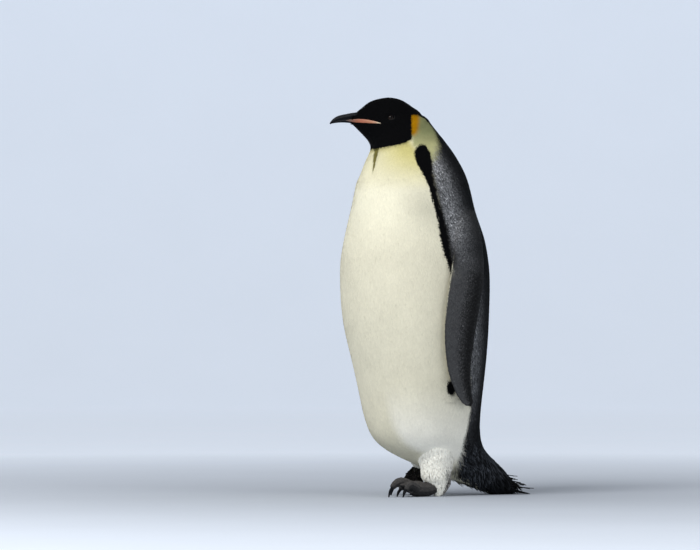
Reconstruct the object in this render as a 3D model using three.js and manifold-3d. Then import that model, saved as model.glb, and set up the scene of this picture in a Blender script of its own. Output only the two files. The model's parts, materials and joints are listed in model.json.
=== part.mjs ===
// Emperor penguin: a well-fed adult at life size, standing in mid stride.
// Millimetres, +Z up. The breast faces -Y and the bird's left side is +X. The head looks a
// little to the bird's right, the left foot stands flat and the right heel is lifted. The
// origin is the middle of the bird's bounding box, at the level of its soles.
import * as THREE from "three";
import { mergeVertices } from "three/addons/utils/BufferGeometryUtils.js";
import Module from "manifold-3d";

const wasm = await Module();
wasm.setup();

// ---- Driving dimensions ----

const GAP = 0.35; // left between parts that touch
const HEAD_TURN = THREE.MathUtils.degToRad(25); // to the bird's right

// Slices through the body, from the root of the bill to the root of the tail. Each runs from
// its point in front or underneath to its point on top or behind, both [y, z] in the bird's
// middle plane, and has its half width, its squareness (2 is an ellipse) and its share of the
// head's turn.
const BODY = [
  { low: [-181, 1026], high: [-174, 1057], half: 13, square: 2.0, turn: 1 }, // bill root
  { low: [-160, 1012], high: [-153, 1067], half: 21, square: 2.0, turn: 1 },
  { low: [-144, 994], high: [-134, 1085], half: 29, square: 2.0, turn: 1 }, // forehead
  { low: [-131, 980], high: [-106, 1096], half: 37, square: 2.05, turn: 1 },
  { low: [-123, 962], high: [-73, 1099], half: 44, square: 2.1, turn: 1 }, // crown, chin
  { low: [-123, 956], high: [-35, 1088], half: 49, square: 2.1, turn: 1 },
  { low: [-130, 942], high: [11, 1060], half: 56, square: 2.1, turn: 1 }, // nape, throat
  { low: [-140, 920], high: [42, 1027], half: 70, square: 2.1, turn: 0.97 },
  { low: [-153, 887], high: [81, 981], half: 90, square: 2.15, turn: 0.86 },
  { low: [-165, 858], high: [115, 932], half: 111, square: 2.2, turn: 0.66 }, // neck's foot
  { low: [-179, 790], high: [143, 874], half: 140, square: 2.25, turn: 0.3 },
  { low: [-195, 717], high: [164, 784], half: 160, square: 2.3, turn: 0.06 }, // shoulders
  { low: [-208, 645], high: [193, 701], half: 175, square: 2.3, turn: 0 },
  { low: [-207, 568], high: [204, 609], half: 183, square: 2.3, turn: 0 }, // breast
  { low: [-203, 520], high: [202, 530], half: 185, square: 2.3, turn: 0 },
  { low: [-192, 450], high: [199, 455], half: 182, square: 2.3, turn: 0 },
  { low: [-170, 369], high: [193, 375], half: 174, square: 2.3, turn: 0 }, // belly
  { low: [-154, 298], high: [185, 305], half: 163, square: 2.3, turn: 0 },
  { low: [-141, 230], high: [180, 240], half: 149, square: 2.3, turn: 0 },
  { low: [-121, 172], high: [180, 195], half: 135, square: 2.3, turn: 0 },
  { low: [-90, 137], high: [184, 165], half: 121, square: 2.3, turn: 0 }, // paunch
  { low: [-51, 112], high: [192, 140], half: 106, square: 2.3, turn: 0 },
  { low: [-1, 91], high: [206, 120], half: 90, square: 2.3, turn: 0 },
  { low: [58, 63], high: [226, 101], half: 73, square: 2.2, turn: 0 }, // between the legs
  { low: [118, 43], high: [246, 84], half: 58, square: 2.1, turn: 0 }, // vent, rump
  { low: [177, 26], high: [262, 66], half: 46, square: 2.1, turn: 0 },
  { low: [224, 11], high: [277, 52], half: 35, square: 2.1, turn: 0 },
  { low: [262, 3], high: [292, 36], half: 24, square: 2.1, turn: 0 }, // root of the tail
];
// Where the body is parted, counted in slices from the bill.
const NECK_FROM = 6.3;
const TRUNK_FROM = 9.4;
const TAIL_FROM = 24.5;
const SLIT = 0.01; // slices left open at a parting, 0.3 to 0.6 mm

// Flat facets round each kind of limb.
const SIDES = { body: 24, leg: 16, flipper: 12, shank: 10, toe: 8, bill: 8, claw: 6, quill: 4 };

// The bill, in the head's own plane: [y, z] of each slice's middle, half height, half width.
const UPPER_BILL = [
  { at: [-152, 1052], high: 8.5, half: 14 },
  { at: [-172, 1050.5], high: 8.3, half: 13 },
  { at: [-190, 1047.5], high: 7.8, half: 10.5 },
  { at: [-208, 1044.2], high: 7.4, half: 8 },
  { at: [-220, 1039.8], high: 6.4, half: 6.4 },
  { at: [-230, 1033.2], high: 4.4, half: 4.2 },
  { at: [-236.5, 1027], high: 1.6, half: 1.6 },
];
const LOWER_BILL = [
  { at: [-152, 1034.5], high: 7, half: 13 },
  { at: [-172, 1034.5], high: 6, half: 11.5 },
  { at: [-190, 1034.8], high: 4.2, half: 8.5 },
  { at: [-208, 1034], high: 3, half: 6 },
  { at: [-224, 1031.2], high: 1.8, half: 3.6 },
  { at: [-230, 1029], high: 1, half: 1.6 },
];
// The coloured plate on each side of the lower bill: [y, z] and half height.
const BILL_PLATE = [
  { at: [-193, 1036.5], high: 0.9 },
  { at: [-176, 1036], high: 4.4 },
  { at: [-158, 1035.2], high: 5.8 },
  { at: [-136, 1033.2], high: 5.4 },
  { at: [-112, 1029.5], high: 3.6 },
  { at: [-96, 1026.5], high: 0.9 },
];
const PLATE = { thick: 3, sunk: 1, onBill: 8.5 }; // onBill: how far out it lies on the bill
const BILL_CLEFT = 0.4; // between the upper and the lower bill

const EYE = { y: -65, z: 1042, radius: 12.5, depth: 12 }; // depth of its centre in the head
const ORBIT = { long: 14, high: 7.5, deep: 4.5, tilt: THREE.MathUtils.degToRad(10) };

// Level slices of the flipper from inside the shoulder to the tip: height, front and rear
// edges, distance of its middle from the bird's middle plane, thickness, and how much nearer
// to the body its rear edge lies than its middle.
const FLIPPER = [
  { z: 800, front: 84, rear: 126, out: 104, thick: 20, tuck: 16 },
  { z: 760, front: 58, rear: 136, out: 134, thick: 26, tuck: 24 },
  { z: 700, front: 32, rear: 138, out: 160, thick: 27, tuck: 21 },
  { z: 612, front: 13, rear: 126, out: 182, thick: 24, tuck: 15 },
  { z: 520, front: -4, rear: 106, out: 191, thick: 19, tuck: 11 },
  { z: 430, front: -7, rear: 89, out: 189, thick: 15, tuck: 9 },
  { z: 350, front: 7, rear: 81, out: 182, thick: 12, tuck: 7 },
  { z: 290, front: 35, rear: 86, out: 175, thick: 9, tuck: 5 },
  { z: 263, front: 57, rear: 91, out: 172, thick: 7, tuck: 3 },
  { z: 252, front: 70, rear: 88, out: 171, thick: 4, tuck: 1 },
];

// Level slices of the feathered legs: height, middle, and half sizes across and along.
const LEGS = {
  left: [
    { z: 170, at: [60, 28], half: [60, 64] },
    { z: 141, at: [62, 30], half: [53, 57] },
    { z: 115, at: [62, 30], half: [47, 50] },
    { z: 90, at: [62, 31], half: [40, 43.6] },
    { z: 58, at: [62, 33], half: [36, 39.6] },
    { z: 42, at: [62, 38], half: [30, 33.6] },
    { z: 30, at: [62, 41], half: [25, 26.5] },
    { z: 15, at: [62, 41], half: [17, 17] },
    { z: 4, at: [62, 38], half: [10, 8] },
  ],
  right: [
    { z: 170, at: [-60, 36], half: [58, 62] },
    { z: 141, at: [-60, 42], half: [52, 56] },
    { z: 118, at: [-61, 48], half: [45, 48] },
    { z: 98, at: [-62, 53], half: [37, 38] },
    { z: 84, at: [-62, 56], half: [30, 30] },
    { z: 72, at: [-61, 59], half: [22, 22] },
    { z: 64, at: [-60, 61], half: [11, 11] },
  ],
};

// Each foot in its own frame: the ball of the foot over the origin, the toes forward along
// -Y and its outer side at +X. A path is a row of [x, y, z, half width, half height].
const FEET = {
  left: {
    at: [62, -30],
    toeIn: THREE.MathUtils.degToRad(0),
    shank: [
      [0, 62, 30, 17, 16],
      [0, 48, 23, 21, 20],
      [0, 25, 20, 24, 20],
      [0, 2, 22, 25, 23],
      [0, -10, 26, 22, 19],
    ],
    middle: [
      [0, -4, 25, 15, 14],
      [0, -30, 38, 13.5, 13.5],
      [0, -50, 41, 12.5, 12.5],
      [0, -65, 33, 10, 10],
      [0, -71, 25, 7.5, 7.5],
    ],
    outer: [
      [12, 0, 22, 14, 14],
      [21, -20, 33, 12, 12],
      [26, -33, 33, 10.5, 10.5],
      [28, -42, 20, 7, 7],
    ],
    inner: [
      [-12, 0, 22, 14, 14],
      [-19, -17, 32, 11.5, 11.5],
      [-23, -27, 31, 10, 10],
      [-25, -33, 19, 6.8, 6.8],
    ],
  },
  right: {
    at: [-62, 13],
    toeIn: THREE.MathUtils.degToRad(12),
    shank: [
      [0, 31, 74, 15, 14],
      [0, 25, 62, 17, 16],
      [0, 15, 44, 20, 17],
      [0, 4, 25, 24, 20],
      [0, -8, 24, 23, 18],
    ],
    middle: [
      [0, -4, 23, 15, 14],
      [0, -20, 34, 13, 13],
      [0, -36, 38, 12, 12],
      [0, -50, 31, 9.8, 9.8],
      [0, -56, 23, 7.5, 7.5],
    ],
    outer: [
      [12, 0, 21, 14, 14],
      [20, -16, 31, 12, 12],
      [25, -30, 30, 10.5, 10.5],
      [27, -39, 19, 7, 7],
    ],
    inner: [
      [-12, 0, 21, 14, 14],
      [-18, -15, 30.5, 11.7, 11.7],
      [-22, -26, 29, 10, 10],
      [-24, -33, 18, 6.8, 6.8],
    ],
  },
};
const HIND_TOE = [
  [-16, 26, 20, 9, 8],
  [-25, 16, 15, 7, 6.5],
  [-29, 8, 11, 5, 5],
];
const WEB = { thick: 4.5, from: 0.07, to: 0.73 }; // shares of the toes' length it joins
// A claw starts `root` above its toe's last point, bends at a share of its reach and is cut
// off level with the floor.
const CLAW = { half: 4.8, ofToe: 0.75, tip: 1.5, reach: 11, root: 3, splay: 1.5, bend: 0.6 };
const HIND_CLAW = { half: 3.6, tip: 1, reach: 11, lean: 1, bend: 0.5 };
const CLAW_TAPER = { wide: 0.85, high: 0.9 }; // at the bend, as shares of the root

// The tail's quills: a fan that rests on the floor with its outer feathers. The middle ones
// lie higher, and each is half as thick and much narrower at its tip.
const QUILLS = { count: 9, spread: THREE.MathUtils.degToRad(20), length: 118, root: 232 };
const QUILL = { half: 10.5, thick: 2.4, tipHalf: 2, tipHeight: 0.7, middleLift: 22 };
const QUILL_ROOT_HEIGHT = 34;
const QUILL_DROOP = 0.8; // how early a quill comes down: 1 is straight
const QUILL_ROLL = 0.35; // how far the outer quills lean over

// ---- Materials ----

const finish = (color, roughness) =>
  new THREE.MeshStandardMaterial({ color, roughness, metalness: 0 });
const MATERIALS = {
  black: finish(0x0b0b0d, 0.7),
  white: finish(0xf3f0e2, 0.75),
  slate: finish(0x35373b, 0.65),
  bill: finish(0x17181b, 0.35),
  plate: finish(0xd9765a, 0.4),
  skin: finish(0x3a3431, 0.6),
  claw: finish(0x1a1716, 0.4),
  eye: finish(0x1d120c, 0.08),
};

// ---- Shape helpers ----

// A smooth run through rows of numbers: run(t) is the row at t, from 0 to rows.length - 1.
function smooth(rows) {
  const cubic = new THREE.CubicInterpolant([...rows.keys()], rows.flat(), rows[0].length);
  return (t) => Array.from(cubic.evaluate(t));
}

// Evenly spaced numbers from one to the other, both included.
function spaced(from, to, steps) {
  return Array.from({ length: steps + 1 }, (_, i) => from + ((to - from) * i) / steps);
}

// One closed loop of points: a superellipse on two half axes given as vectors.
function loop(centre, deep, wide, sides, square = 2) {
  return spaced(0, 2 * Math.PI, sides)
    .slice(0, -1)
    .map((angle) => {
      const along = Math.sign(Math.cos(angle)) * Math.abs(Math.cos(angle)) ** (2 / square);
      const across = Math.sign(Math.sin(angle)) * Math.abs(Math.sin(angle)) ** (2 / square);
      return centre.clone().addScaledVector(deep, along).addScaledVector(wide, across);
    });
}

// A closed shape through loops that have the same number of points, capped at both ends.
function skinOver(loops) {
  const sides = loops[0].length;
  const points = loops.flat();
  const middle = (ring) =>
    ring.reduce((sum, p) => sum.add(p), new THREE.Vector3()).divideScalar(sides);
  points.push(middle(loops[0]), middle(loops.at(-1)));
  const [first, last] = [points.length - 2, points.length - 1];
  const faces = [];
  for (let side = 0; side < sides; side += 1) {
    const next = (side + 1) % sides;
    for (let row = 0; row < loops.length - 1; row += 1) {
      const [a, b] = [row * sides, (row + 1) * sides];
      faces.push(a + side, b + side, b + next, a + side, b + next, a + next);
    }
    const end = (loops.length - 1) * sides;
    faces.push(first, side, next, last, end + next, end + side);
  }
  return new THREE.BufferGeometry().setFromPoints(points).setIndex(faces);
}

// A bent, tapering limb along rows of [x, y, z, half width, half height]. Its sections stand
// square to the path and keep `across` level.
function limb(rows, { sides = SIDES.toe, steps = 7, grow = 0, across = new THREE.Vector3(1, 0, 0) } = {}) {
  const run = smooth(rows);
  const end = rows.length - 1;
  const place = (t) => new THREE.Vector3(...run(Math.min(Math.max(t, 0), end)));
  const nudge = 0.01;
  return skinOver(
    spaced(0, end, steps).map((t) => {
      const [wide, high] = run(t).slice(3);
      const ahead = place(t + nudge).sub(place(t - nudge));
      const up = new THREE.Vector3().crossVectors(across, ahead).normalize();
      const side = across.clone().multiplyScalar(wide + grow);
      return loop(place(t), up.multiplyScalar(high + grow), side, sides);
    }),
  );
}

// A closed geometry as a solid. A mirrored shape has its faces turned in, and is turned back.
function solid(geometry) {
  const bare = geometry.clone();
  bare.deleteAttribute("normal");
  bare.deleteAttribute("uv");
  const merged = mergeVertices(bare, 1e-3);
  const vertProperties = merged.attributes.position.array;
  const triVerts = new Uint32Array(merged.index.array);
  const made = new wasm.Manifold(new wasm.Mesh({ numProp: 3, vertProperties, triVerts }));
  if (made.volume() > 0) return made;
  return new wasm.Manifold(
    new wasm.Mesh({ numProp: 3, vertProperties, triVerts: triVerts.reverse() }),
  );
}

// The outer body of a joined shape, without the hollows sealed in between its pieces.
function outerBody(made) {
  return made.decompose().sort((a, b) => b.volume() - a.volume())[0];
}

function geometryOf(made) {
  const { vertProperties, triVerts } = made.getMesh();
  const geometry = new THREE.BufferGeometry()
    .setAttribute("position", new THREE.BufferAttribute(vertProperties, 3))
    .setIndex(new THREE.BufferAttribute(triVerts, 1));
  geometry.computeVertexNormals();
  return geometry;
}

function part(name, made, material) {
  const mesh = new THREE.Mesh(geometryOf(made), material);
  mesh.name = name;
  return mesh;
}

// All that lies under the floor, which trims soles, claws and quills to small flats.
const FLOOR_BLOCK = 2000;
const underFloor = solid(
  new THREE.BoxGeometry(FLOOR_BLOCK, FLOOR_BLOCK, FLOOR_BLOCK).translate(0, 0, -FLOOR_BLOCK / 2),
);

// ---- Body: head, neck, trunk and the tail's root ----

const bodyAt = smooth(
  BODY.map(({ low, high, half, square, turn }) => [...low, ...high, half, square, turn]),
);

// The loop round the body at one slice, grown outwards by `grow`. The head is made in its own
// frame, looking straight ahead, so it takes no turn here.
function bodyLoop(t, grow, turned) {
  const [lowY, lowZ, highY, highZ, half, square, turn] = bodyAt(t);
  const low = new THREE.Vector3(0, lowY, lowZ);
  const high = new THREE.Vector3(0, highY, highZ);
  const centre = low.clone().add(high).divideScalar(2);
  const deep = high.sub(low).divideScalar(2);
  deep.setLength(deep.length() + grow);
  const wide = new THREE.Vector3(half + grow, 0, 0);
  const points = loop(centre, deep, wide, SIDES.body, square);
  const yaw = turned ? -HEAD_TURN * turn : 0;
  return points.map((p) => p.applyAxisAngle(new THREE.Vector3(0, 0, 1), yaw));
}

function body(from, to, { stepsPerSlice = 2, grow = 0, turned = true } = {}) {
  const steps = Math.round((to - from) * stepsPerSlice);
  return skinOver(spaced(from, to, steps).map((t) => bodyLoop(t, grow, turned)));
}

// Half the head's width at a point [y, z] of its middle plane, by the slice that crosses it.
function halfWidthAt(y, z) {
  const offSlice = (t) => {
    const [lowY, lowZ, highY, highZ] = bodyAt(t);
    return (highY - lowY) * (z - lowZ) - (highZ - lowZ) * (y - lowY);
  };
  let [near, far] = [0, NECK_FROM];
  for (let i = 0; i < 30; i += 1) {
    const middle = (near + far) / 2;
    if (offSlice(middle) > 0 === offSlice(near) > 0) near = middle;
    else far = middle;
  }
  const [lowY, lowZ, highY, highZ, half, square] = bodyAt(near);
  const length = Math.hypot(highY - lowY, highZ - lowZ);
  const along = Math.hypot(y - lowY, z - lowZ) / length;
  return half * (1 - Math.abs(2 * along - 1) ** square) ** (1 / square);
}

const trunkCutter = solid(body(TRUNK_FROM, TAIL_FROM, { grow: GAP }));
const neck = part("neck", solid(body(NECK_FROM, TRUNK_FROM - SLIT)), MATERIALS.white);
const trunk = part("trunk", solid(body(TRUNK_FROM, TAIL_FROM - SLIT)), MATERIALS.white);

// ---- Head group: skull and face, bill, plates and eyes ----

function bill(rows, grow = 0) {
  return limb(
    rows.map(({ at, high, half }) => [0, ...at, half, high]),
    { sides: SIDES.bill, steps: 9, grow },
  );
}

// The plate lies on the side of the bill and then, sunk into it, on the cheek.
function billPlate(side, grow = 0) {
  const rows = BILL_PLATE.map(({ at: [y, z], high }) => {
    const onFace = y > BODY[0].low[0] ? halfWidthAt(y, z) : 0;
    const out = Math.max(onFace, PLATE.onBill) - PLATE.sunk;
    return [side * out, y, z, PLATE.thick / 2, high];
  });
  return limb(rows, { sides: SIDES.claw, steps: 8, grow });
}

function eyeBall(side, grow = 0) {
  const out = halfWidthAt(EYE.y, EYE.z) - EYE.depth;
  return new THREE.SphereGeometry(EYE.radius + grow, 12, 8)
    .rotateZ(Math.PI / 2)
    .translate(side * out, EYE.y, EYE.z);
}

// The opening of the lids, an almond that dips into the face.
function orbit(side) {
  return new THREE.SphereGeometry(1, 10, 6)
    .scale(ORBIT.deep, ORBIT.long, ORBIT.high)
    .rotateX(-ORBIT.tilt)
    .translate(side * halfWidthAt(EYE.y, EYE.z), EYE.y, EYE.z);
}

const headGroup = new THREE.Group();
headGroup.rotation.z = -HEAD_TURN;
const upperBill = solid(bill(UPPER_BILL));
const lowerBill = solid(bill(LOWER_BILL)).subtract(solid(bill(UPPER_BILL, BILL_CLEFT)));
let skull = solid(body(0, NECK_FROM - SLIT, { turned: false }))
  .subtract(solid(bill(UPPER_BILL, GAP)))
  .subtract(solid(bill(LOWER_BILL, GAP)));
let lowerBillCut = lowerBill;
for (const [name, side] of Object.entries({ left: 1, right: -1 })) {
  const plateCutter = solid(billPlate(side, GAP));
  skull = skull
    .subtract(plateCutter)
    .subtract(solid(orbit(side)))
    .subtract(solid(eyeBall(side, GAP)));
  lowerBillCut = lowerBillCut.subtract(plateCutter);
  const plate = solid(billPlate(side)).subtract(solid(bill(UPPER_BILL, GAP)));
  headGroup.add(part("bill_plate_" + name, plate, MATERIALS.plate));
  headGroup.add(part("eye_" + name, solid(eyeBall(side)), MATERIALS.eye));
}
headGroup.add(part("head", skull, MATERIALS.black));
headGroup.add(part("bill_upper", upperBill, MATERIALS.bill));
headGroup.add(part("bill_lower", lowerBillCut, MATERIALS.bill));

// ---- Flippers ----

function flipper(side) {
  const run = smooth(FLIPPER.map((slice) => Object.values(slice)));
  const loops = spaced(0, FLIPPER.length - 1, 14).map((t) => {
    const [z, front, rear, out, thick, tuck] = run(t);
    const centre = new THREE.Vector3(side * out, (front + rear) / 2, z);
    const along = new THREE.Vector3(side * tuck, (front - rear) / 2, 0);
    const across = new THREE.Vector3(along.y, -along.x, 0).setLength(thick / 2);
    return loop(centre, along, across, SIDES.flipper);
  });
  return skinOver(loops);
}

// ---- Tail ----

// One quill of the fan, as a thin blade that narrows to its tip. `share` runs over the fan
// from -1 to 1, and the middle quills lie on top of the outer ones.
function quill(share) {
  const angle = share * QUILLS.spread;
  const lift = QUILL.middleLift * (1 - Math.abs(share));
  const [fromHeight, toHeight] = [QUILL_ROOT_HEIGHT + lift / 2, QUILL.tipHeight + lift];
  const run = (far) => [
    Math.sin(angle) * QUILLS.length * far,
    QUILLS.root + Math.cos(angle) * QUILLS.length * far,
    THREE.MathUtils.lerp(fromHeight, toHeight, far ** QUILL_DROOP),
  ];
  const across = new THREE.Vector3(Math.cos(angle), -Math.sin(angle), -QUILL_ROLL * share);
  across.normalize();
  const { half, thick, tipHalf } = QUILL;
  const rows = [
    [...run(0), half, thick],
    [...run(0.45), half, thick],
    [...run(0.8), half * 0.8, thick * 0.8],
    [...run(1), tipHalf, thick * 0.5],
  ];
  return limb(rows, { sides: SIDES.quill, steps: 3, across });
}

let tailSolid = solid(body(TAIL_FROM, BODY.length - 1));
for (const share of spaced(-1, 1, QUILLS.count - 1)) {
  tailSolid = tailSolid.add(solid(quill(share)));
}
const tail = part(
  "tail",
  tailSolid.subtract(trunkCutter).subtract(underFloor),
  MATERIALS.black,
);

// ---- Feet, claws and legs ----

// The web between two toes, drawn tight from the ball of the foot to the last joint.
function web(toe, neighbour, grow) {
  const [one, other] = [smooth(toe), smooth(neighbour)];
  const half = WEB.thick / 2 + grow;
  const edge = (run, rows, share, up) => {
    const [x, y, z] = run((rows.length - 1) * share);
    return new THREE.Vector3(x, y, z + up);
  };
  return skinOver(
    spaced(WEB.from, WEB.to, 3).map((share) => [
      edge(one, toe, share, half),
      edge(one, toe, share, -half),
      edge(other, neighbour, share, -half),
      edge(other, neighbour, share, half),
    ]),
  );
}

function outwards(rows, side) {
  return rows.map(([x, ...rest]) => [side * x, ...rest]);
}

function footSolid(pose, side, grow = 0) {
  const toes = ["inner", "middle", "outer"].map((toe) => outwards(pose[toe], side));
  const pieces = [
    limb(outwards(pose.shank, side), { sides: SIDES.shank, steps: 6, grow }),
    ...toes.map((toe) => limb(toe, { grow })),
    limb(outwards(HIND_TOE, side), { sides: SIDES.claw, steps: 3, grow }),
    web(toes[0], toes[1], grow),
    web(toes[1], toes[2], grow),
  ];
  return outerBody(pieces.map(solid).reduce((sum, piece) => sum.add(piece)));
}

// A claw carries on from inside the end of its toe and bends down to a blunt point on the
// floor.
function claw(toe) {
  const [x, y, z, toeHalf] = toe.at(-1);
  const out = x + Math.sign(x - toe.at(-2)[0]) * CLAW.splay;
  const half = Math.min(CLAW.half, toeHalf * CLAW.ofToe);
  const { reach, root, tip, bend } = CLAW;
  const rows = [
    [x, y + root / 2, z + root, half, half],
    [out, y - reach * bend, z * bend, half * CLAW_TAPER.wide, half * CLAW_TAPER.high],
    [out, y - reach, -tip, tip, tip],
  ];
  return limb(rows, { sides: SIDES.claw, steps: 4 });
}

function hindClaw(side) {
  const [x, y, z] = outwards(HIND_TOE, side).at(-1);
  const { half, tip, reach, lean, bend } = HIND_CLAW;
  const rows = [
    [x, y + half, z + half, half, half],
    [x - side * lean, y - reach * bend, z * 0.75, half * CLAW_TAPER.wide, half * CLAW_TAPER.high],
    [x - side * lean * 2, y - reach, z * 0.25, tip, tip],
  ];
  return limb(rows, { sides: SIDES.claw, steps: 3 });
}

const bird = new THREE.Group();
bird.add(headGroup, neck, trunk, tail);

for (const [name, side] of Object.entries({ left: 1, right: -1 })) {
  bird.add(part("flipper_" + name, solid(flipper(side)).subtract(trunkCutter), MATERIALS.slate));

  const pose = FEET[name];
  const foot = new THREE.Group();
  foot.position.set(...pose.at, 0);
  foot.rotation.z = side * -pose.toeIn;
  foot.updateMatrix();
  const footMade = footSolid(pose, side).subtract(underFloor);
  const footCutter = footSolid(pose, side, GAP);
  foot.add(part("foot_" + name, footMade, MATERIALS.skin));
  for (const toe of ["inner", "middle", "outer"]) {
    const made = solid(claw(outwards(pose[toe], side))).subtract(footCutter);
    foot.add(part(`claw_${name}_${toe}`, outerBody(made.subtract(underFloor)), MATERIALS.claw));
  }
  const hind = solid(hindClaw(side)).subtract(footCutter);
  foot.add(part(`claw_${name}_hind`, outerBody(hind), MATERIALS.claw));

  const slices = smooth(LEGS[name].map(({ z, at, half }) => [z, ...at, ...half]));
  const legShape = skinOver(
    spaced(0, LEGS[name].length - 1, 9).map((t) => {
      const [z, x, y, wide, deep] = slices(t);
      const centre = new THREE.Vector3(x, y, z);
      const [long, across] = [new THREE.Vector3(0, deep, 0), new THREE.Vector3(wide, 0, 0)];
      return loop(centre, long, across, SIDES.leg);
    }),
  );
  const footInPlace = solid(geometryOf(footCutter).applyMatrix4(foot.matrix));
  const leg = solid(legShape).subtract(trunkCutter).subtract(footInPlace);
  bird.add(part("leg_" + name, leg, MATERIALS.white));
  bird.add(foot);
}

// The origin goes to the middle of the bird's bounding box, at the level of the floor.
const extent = new THREE.Box3().setFromObject(bird, true);
const middle = extent.getCenter(new THREE.Vector3());
bird.position.set(-middle.x, -middle.y, -extent.min.z);

export default bird;
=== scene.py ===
"""Emperor penguin, life size: skin, feather coat, bill, eyes, feet and tail, made round the
fixed frame. The breast faces -Y, the bird's left side is +X, and +Z is up."""

import json
import math
from types import SimpleNamespace

import bpy
import numpy as np
from mathutils import Matrix, Vector, noise
from mathutils.bvhtree import BVHTree
from mathutils.kdtree import KDTree

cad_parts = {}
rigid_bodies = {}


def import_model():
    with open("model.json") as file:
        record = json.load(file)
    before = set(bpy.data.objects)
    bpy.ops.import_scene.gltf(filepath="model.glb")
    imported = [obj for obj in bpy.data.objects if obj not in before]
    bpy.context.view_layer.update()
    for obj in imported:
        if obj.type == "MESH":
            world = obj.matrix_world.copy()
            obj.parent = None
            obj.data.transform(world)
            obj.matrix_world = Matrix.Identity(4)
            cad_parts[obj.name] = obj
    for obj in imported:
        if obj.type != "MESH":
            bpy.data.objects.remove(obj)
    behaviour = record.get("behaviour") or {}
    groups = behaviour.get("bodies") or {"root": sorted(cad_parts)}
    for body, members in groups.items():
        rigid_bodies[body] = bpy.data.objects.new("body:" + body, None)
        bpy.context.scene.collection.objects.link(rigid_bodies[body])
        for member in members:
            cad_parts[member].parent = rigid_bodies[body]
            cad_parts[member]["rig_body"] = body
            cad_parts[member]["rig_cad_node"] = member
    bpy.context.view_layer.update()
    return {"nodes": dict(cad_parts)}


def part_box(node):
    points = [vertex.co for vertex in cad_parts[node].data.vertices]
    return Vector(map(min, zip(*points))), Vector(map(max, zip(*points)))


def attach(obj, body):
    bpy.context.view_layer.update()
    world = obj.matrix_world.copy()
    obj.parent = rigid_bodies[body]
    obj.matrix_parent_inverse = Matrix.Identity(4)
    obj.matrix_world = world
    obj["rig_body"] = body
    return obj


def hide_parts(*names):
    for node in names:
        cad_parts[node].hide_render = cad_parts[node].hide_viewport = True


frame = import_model()

bl_info = {
    "name": "Emperor penguin",
    "version": (1, 0, 0),
    "blender": (4, 5, 0),
    "location": "View3D > Sidebar > Penguin",
    "description": "Builds a life-size emperor penguin with its feather coat",
    "category": "Add Mesh",
}

MM = 0.001
FACE_OUT = ("normals_make_consistent", {"inside": False})
SIDES = {"left": 1, "right": -1}
BODY_NODES = ("head", "neck", "trunk", "tail")

# ---- The body's own coordinates: stations along it and an angle round it ----

# The bird's upright axis, which the head turns about, lies this far along Y.
AXIS_Y = -67.33
HEAD_TURN = math.radians(-25)
HEAD_AHEAD = np.array([math.sin(HEAD_TURN), -math.cos(HEAD_TURN), 0])
HEAD_LEFT = np.array([math.cos(HEAD_TURN), math.sin(HEAD_TURN), 0])
UP = np.array([0, 0, 1])
# Stations from the root of the bill to the tail: middle [y, z] from the upright axis, the
# tilt of the section from level, in degrees, and its share of the head's turn.
SPINE = (
    (-177.5, 1041.5, 77, 1.0),
    (-139, 1039.5, 84, 1.0),
    (-118.5, 1038, 78, 1.0),
    (-98, 1030.5, 70, 1.0),
    (-79, 1022, 56, 1.0),
    (-59.5, 1001, 40, 1.0),
    (-49, 973.5, 30, 0.97),
    (-36, 934, 22, 0.86),
    (-25, 895, 15, 0.66),
    (-18, 832, 15, 0.3),
    (-15.5, 750, 11, 0.06),
    (-8, 670, 8, 0.0),
    (-1.5, 588, 6, 0.0),
    (3.5, 452, 1, 0.0),
    (15.5, 301, 1, 0.0),
    (29.5, 183, 4, 0.0),
    (70.5, 126, 7, 0.0),
    (142, 82, 13, 0.0),
    (219.5, 46, 25, 0.0),
    (277, 19.5, 48, 0.0),
)
ROWS_PER_STATION = 14
COLUMNS = 144
# How far out the measuring rays start, by station: under the chin they start short of the
# breast.
REACH_AT = (0, 3, 3.5, 4, 5, 6, 7)
REACH = (0.09, 0.10, 0.12, 0.15, 0.20, 0.30, 0.45)


def run_through(rows, at):
    """A smooth run (Catmull-Rom) through rows of numbers, read at each place in `at`."""
    rows = np.asarray(rows, float)
    padded = np.vstack([2 * rows[0] - rows[1], rows, 2 * rows[-1] - rows[-2]])
    index = np.clip(np.floor(at).astype(int), 0, len(rows) - 2)
    t = (at - index)[:, None]
    a, b, c, d = (padded[index + k] for k in range(4))
    return 0.5 * (
        2 * b + (c - a) * t + (2 * a - 5 * b + 4 * c - d) * t**2
        + (3 * b - a - 3 * c + d) * t**3
    )


def ramp(value, start, end):
    """0 before start, 1 after end and a smooth step between them."""
    t = np.clip((value - start) / (end - start), 0, 1)
    return t * t * (3 - 2 * t)


def unit(vectors):
    return vectors / np.maximum(np.linalg.norm(vectors, axis=-1, keepdims=True), 1e-12)


def deselect():
    bpy.ops.object.select_all(action="DESELECT")


def activate(*pieces):
    deselect()
    for piece in pieces:
        piece.select_set(True)
    bpy.context.view_layer.objects.active = pieces[0]


def read(items, name):
    """A vector of each vertex or face of a mesh, as an array."""
    values = np.empty(len(items) * 3, np.float32)
    items.foreach_get(name, values)
    return values.reshape(-1, 3).astype(float)


def read_part(items):
    values = np.empty(len(items), np.int32)
    items.foreach_get("value", values)
    return values


def active_piece(name):
    """The active object, with its name set."""
    piece = bpy.context.view_layer.objects.active
    piece.name = piece.data.name = name
    return piece


def points_of(mesh):
    return read(mesh.vertices, "co")


def set_points(mesh, points):
    mesh.vertices.foreach_set("co", points.astype(np.float32).ravel())
    mesh.update()


def set_colour(mesh, name, colour):
    """An opaque colour for each vertex."""
    attribute = mesh.attributes.new(name, "FLOAT_COLOR", "POINT")
    colour = colour.reshape(-1, 3)
    values = np.hstack([colour, np.ones((len(colour), 1))])
    attribute.data.foreach_set("color", values.astype(np.float32).ravel())


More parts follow.
